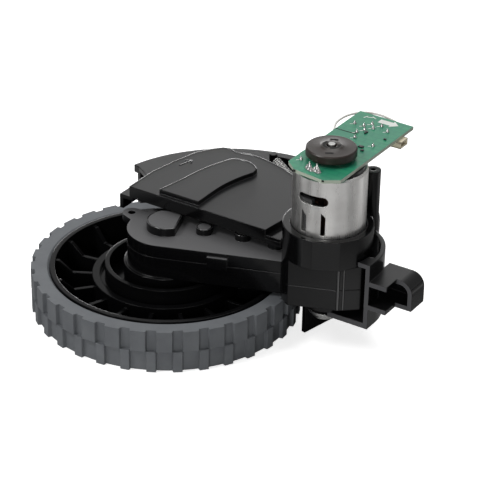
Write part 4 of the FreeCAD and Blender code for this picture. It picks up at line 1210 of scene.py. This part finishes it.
@dataclass
class Studio:
    """Pale floor, soft lamps and the camera at the photograph's view."""

    place: Point = (308.19, -446.76, 317.31)
    side: Point = (0.84223, 0.53877, 0.01919)
    up: Point = (-0.27459, 0.39807, 0.87529)
    back: Point = (0.46395, -0.74247, 0.48321)
    lens: float = 151.2
    sensor: float = 36.0
    clip: Pair = (0.01, 20.0)
    aim: Point = (20, 20, 20)
    lamps: tuple[SoftBox, ...] = (
        SoftBox("key", (-180, -260, 420), 160, 1.0),
        SoftBox("front", (200, -480, 160), 160, 0.7),
        SoftBox("overhead", (10, 160, 560), 400, 1.5),
        SoftBox("sweep", (-325, 519, 338), 500, 0.5),
        SoftBox("rim", (-300, 480, 60), 560, 0.8, 0.12),
    )
    fill: float = 0.14
    surroundings: float = 0.41
    floor_half_m: float = 3.0
    floor_below_m: float = -0.0002
    patch_mm: float = 60.0
    patches: tuple[str, str] = ("#3c3c3c", "#ffffff")
    paper: str = "#f4f4f4"
    glow: float = 0.72

    def build(self) -> None:
        """Set the stage."""
        self.camera()
        self.floor()
        self.world()
        for lamp in self.lamps:
            self.hang(lamp)
        bpy.context.scene.view_settings.view_transform = "Standard"

    def camera(self) -> None:
        """Place the camera that the photograph was taken with."""
        data = bpy.data.cameras.new("camera")
        data.lens = self.lens
        data.sensor_width = self.sensor
        data.clip_start, data.clip_end = self.clip
        obj = bpy.data.objects.new("camera", data)
        turn = Matrix((self.side, self.up, self.back)).transposed().to_4x4()
        obj.matrix_world = Matrix.Translation(Vector(self.place) * MM) @ turn
        bpy.context.scene.collection.objects.link(obj)
        bpy.context.scene.camera = obj

    def floor(self) -> None:
        """Lay the floor: white paper to the camera, pale and dark patches to light and reflections."""
        mesh = bmesh.new()
        bmesh.ops.create_grid(mesh, x_segments=1, y_segments=1, size=self.floor_half_m)
        bmesh.ops.translate(mesh, vec=(0, 0, self.floor_below_m), verts=mesh.verts)
        data = bpy.data.meshes.new("floor")
        mesh.to_mesh(data)
        mesh.free()
        obj = bpy.data.objects.new("floor", data)
        bpy.context.scene.collection.objects.link(obj)
        tree = Tree(bpy.data.materials.new("paper_floor"))
        coords = tree.node("TexCoord").outputs["Object"]
        noise = tree.node("TexNoise", Vector=coords, Scale=per(self.patch_mm), Detail=0.0)
        share = tree.node("MapRange", Value=noise.outputs["Fac"], To_Min=0.0, To_Max=1.0, **SPREAD)
        dark, light = (linear(code) for code in self.patches)
        grey = tree.node("Mix", COLOURS, _0=share.outputs["Result"], _6=dark, _7=light)
        dull = tree.node("BsdfDiffuse", Color=grey.outputs[2])
        pale = tree.node("BsdfDiffuse", Color=linear(self.paper))
        glow = tree.node("Emission", Color=(1, 1, 1, 1), Strength=self.glow)
        both = tree.node("AddShader", _0=pale.outputs[0], _1=glow.outputs[0])
        seen = tree.node("LightPath").outputs["Is Camera Ray"]
        mixed = tree.node("MixShader", _0=seen, _1=dull.outputs[0], _2=both.outputs[0])
        tree.node("OutputMaterial", Surface=mixed.outputs[0])
        obj.data.materials.append(tree.owner)

    def world(self) -> None:
        """Fill the studio with dim even light, grey to reflections and white to the camera."""
        world = bpy.data.worlds.new("studio")
        bpy.context.scene.world = world
        tree = Tree(world)
        path = tree.node("LightPath")
        last, sheen, white = (
            tree.node("Background", Strength=strength).outputs[0]
            for strength in (self.fill, self.surroundings, 1.0)
        )
        for ray, light in (("Glossy", sheen), ("Transmission", white), ("Camera", white)):
            seen = path.outputs[f"Is {ray} Ray"]
            last = tree.node("MixShader", _0=seen, _1=last, _2=light).outputs[0]
        tree.node("OutputWorld", Surface=last)

    def hang(self, lamp: SoftBox) -> None:
        """Hang one soft box that looks at the module.

        Args:
            lamp: The soft box.
        """
        data = bpy.data.lights.new(lamp.name, "AREA")
        data.shape = "RECTANGLE"
        data.size = lamp.width * MM
        data.size_y = lamp.width * lamp.share * MM
        data.energy = lamp.watts
        obj = bpy.data.objects.new(lamp.name, data)
        obj.rotation_euler = (Vector(self.aim) - Vector(lamp.place)).to_track_quat("-Z", "Y").to_euler()
        obj.location = Vector(lamp.place) * MM
        bpy.context.scene.collection.objects.link(obj)


OWN_FINISH = {"wheel_hub": "hub_abs", "housing": "fender_abs", "gearbox_cover": "cover_abs_painted_top"}

# Round the back of the fender's plate and bulge, where the light grazes them from behind.
FENDER_RIMS = RolledRims(name="fender_rims", node="housing", body=Body.HOUSING, rise=(-0.1, 3.0),
                         radius=0.36, away=(-0.56, 0.83, 0.0), least=0.1)
# Round the gearbox's bosses, whichever way their walls face.
BOSS_RIMS = RolledRims(name="boss_rims", node="gearbox_cover", body=Body.ARM, rise=(0.4, 5.0),
                       radius=0.3, away=(-0.56, 0.83, 0.0), least=-2.0)


def dress_nodes(finishes: Finishes) -> None:
    """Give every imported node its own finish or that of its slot.

    Args:
        finishes: The module's materials.
    """
    for entry in frame["record"]["subparts"]:
        obj = frame["nodes"][entry["node"]]
        own = OWN_FINISH.get(entry["node"], entry["material_slot"])
        dress(obj, finishes[own])
        LOG.info("%s dressed in %s", obj.name, own)


def main() -> None:
    """Build the looks in order."""
    logging.basicConfig(level=logging.INFO, format="%(name)s %(message)s")
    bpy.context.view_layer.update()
    finishes = Finishes()
    finishes.build()
    dress_nodes(finishes)
    for part in (SwingSpring(), EncoderDisc(), BoardDress(), TerminalSolder(), BoardPlug(), PlateArrow(),
                 FenderCollar(), FENDER_RIMS, BOSS_RIMS, PaintedGlintEnds(), DrumCorners(), JumperWire()):
        part.build(finishes)
    Studio().build()
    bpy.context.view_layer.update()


if __name__ == "__main__":
    main()
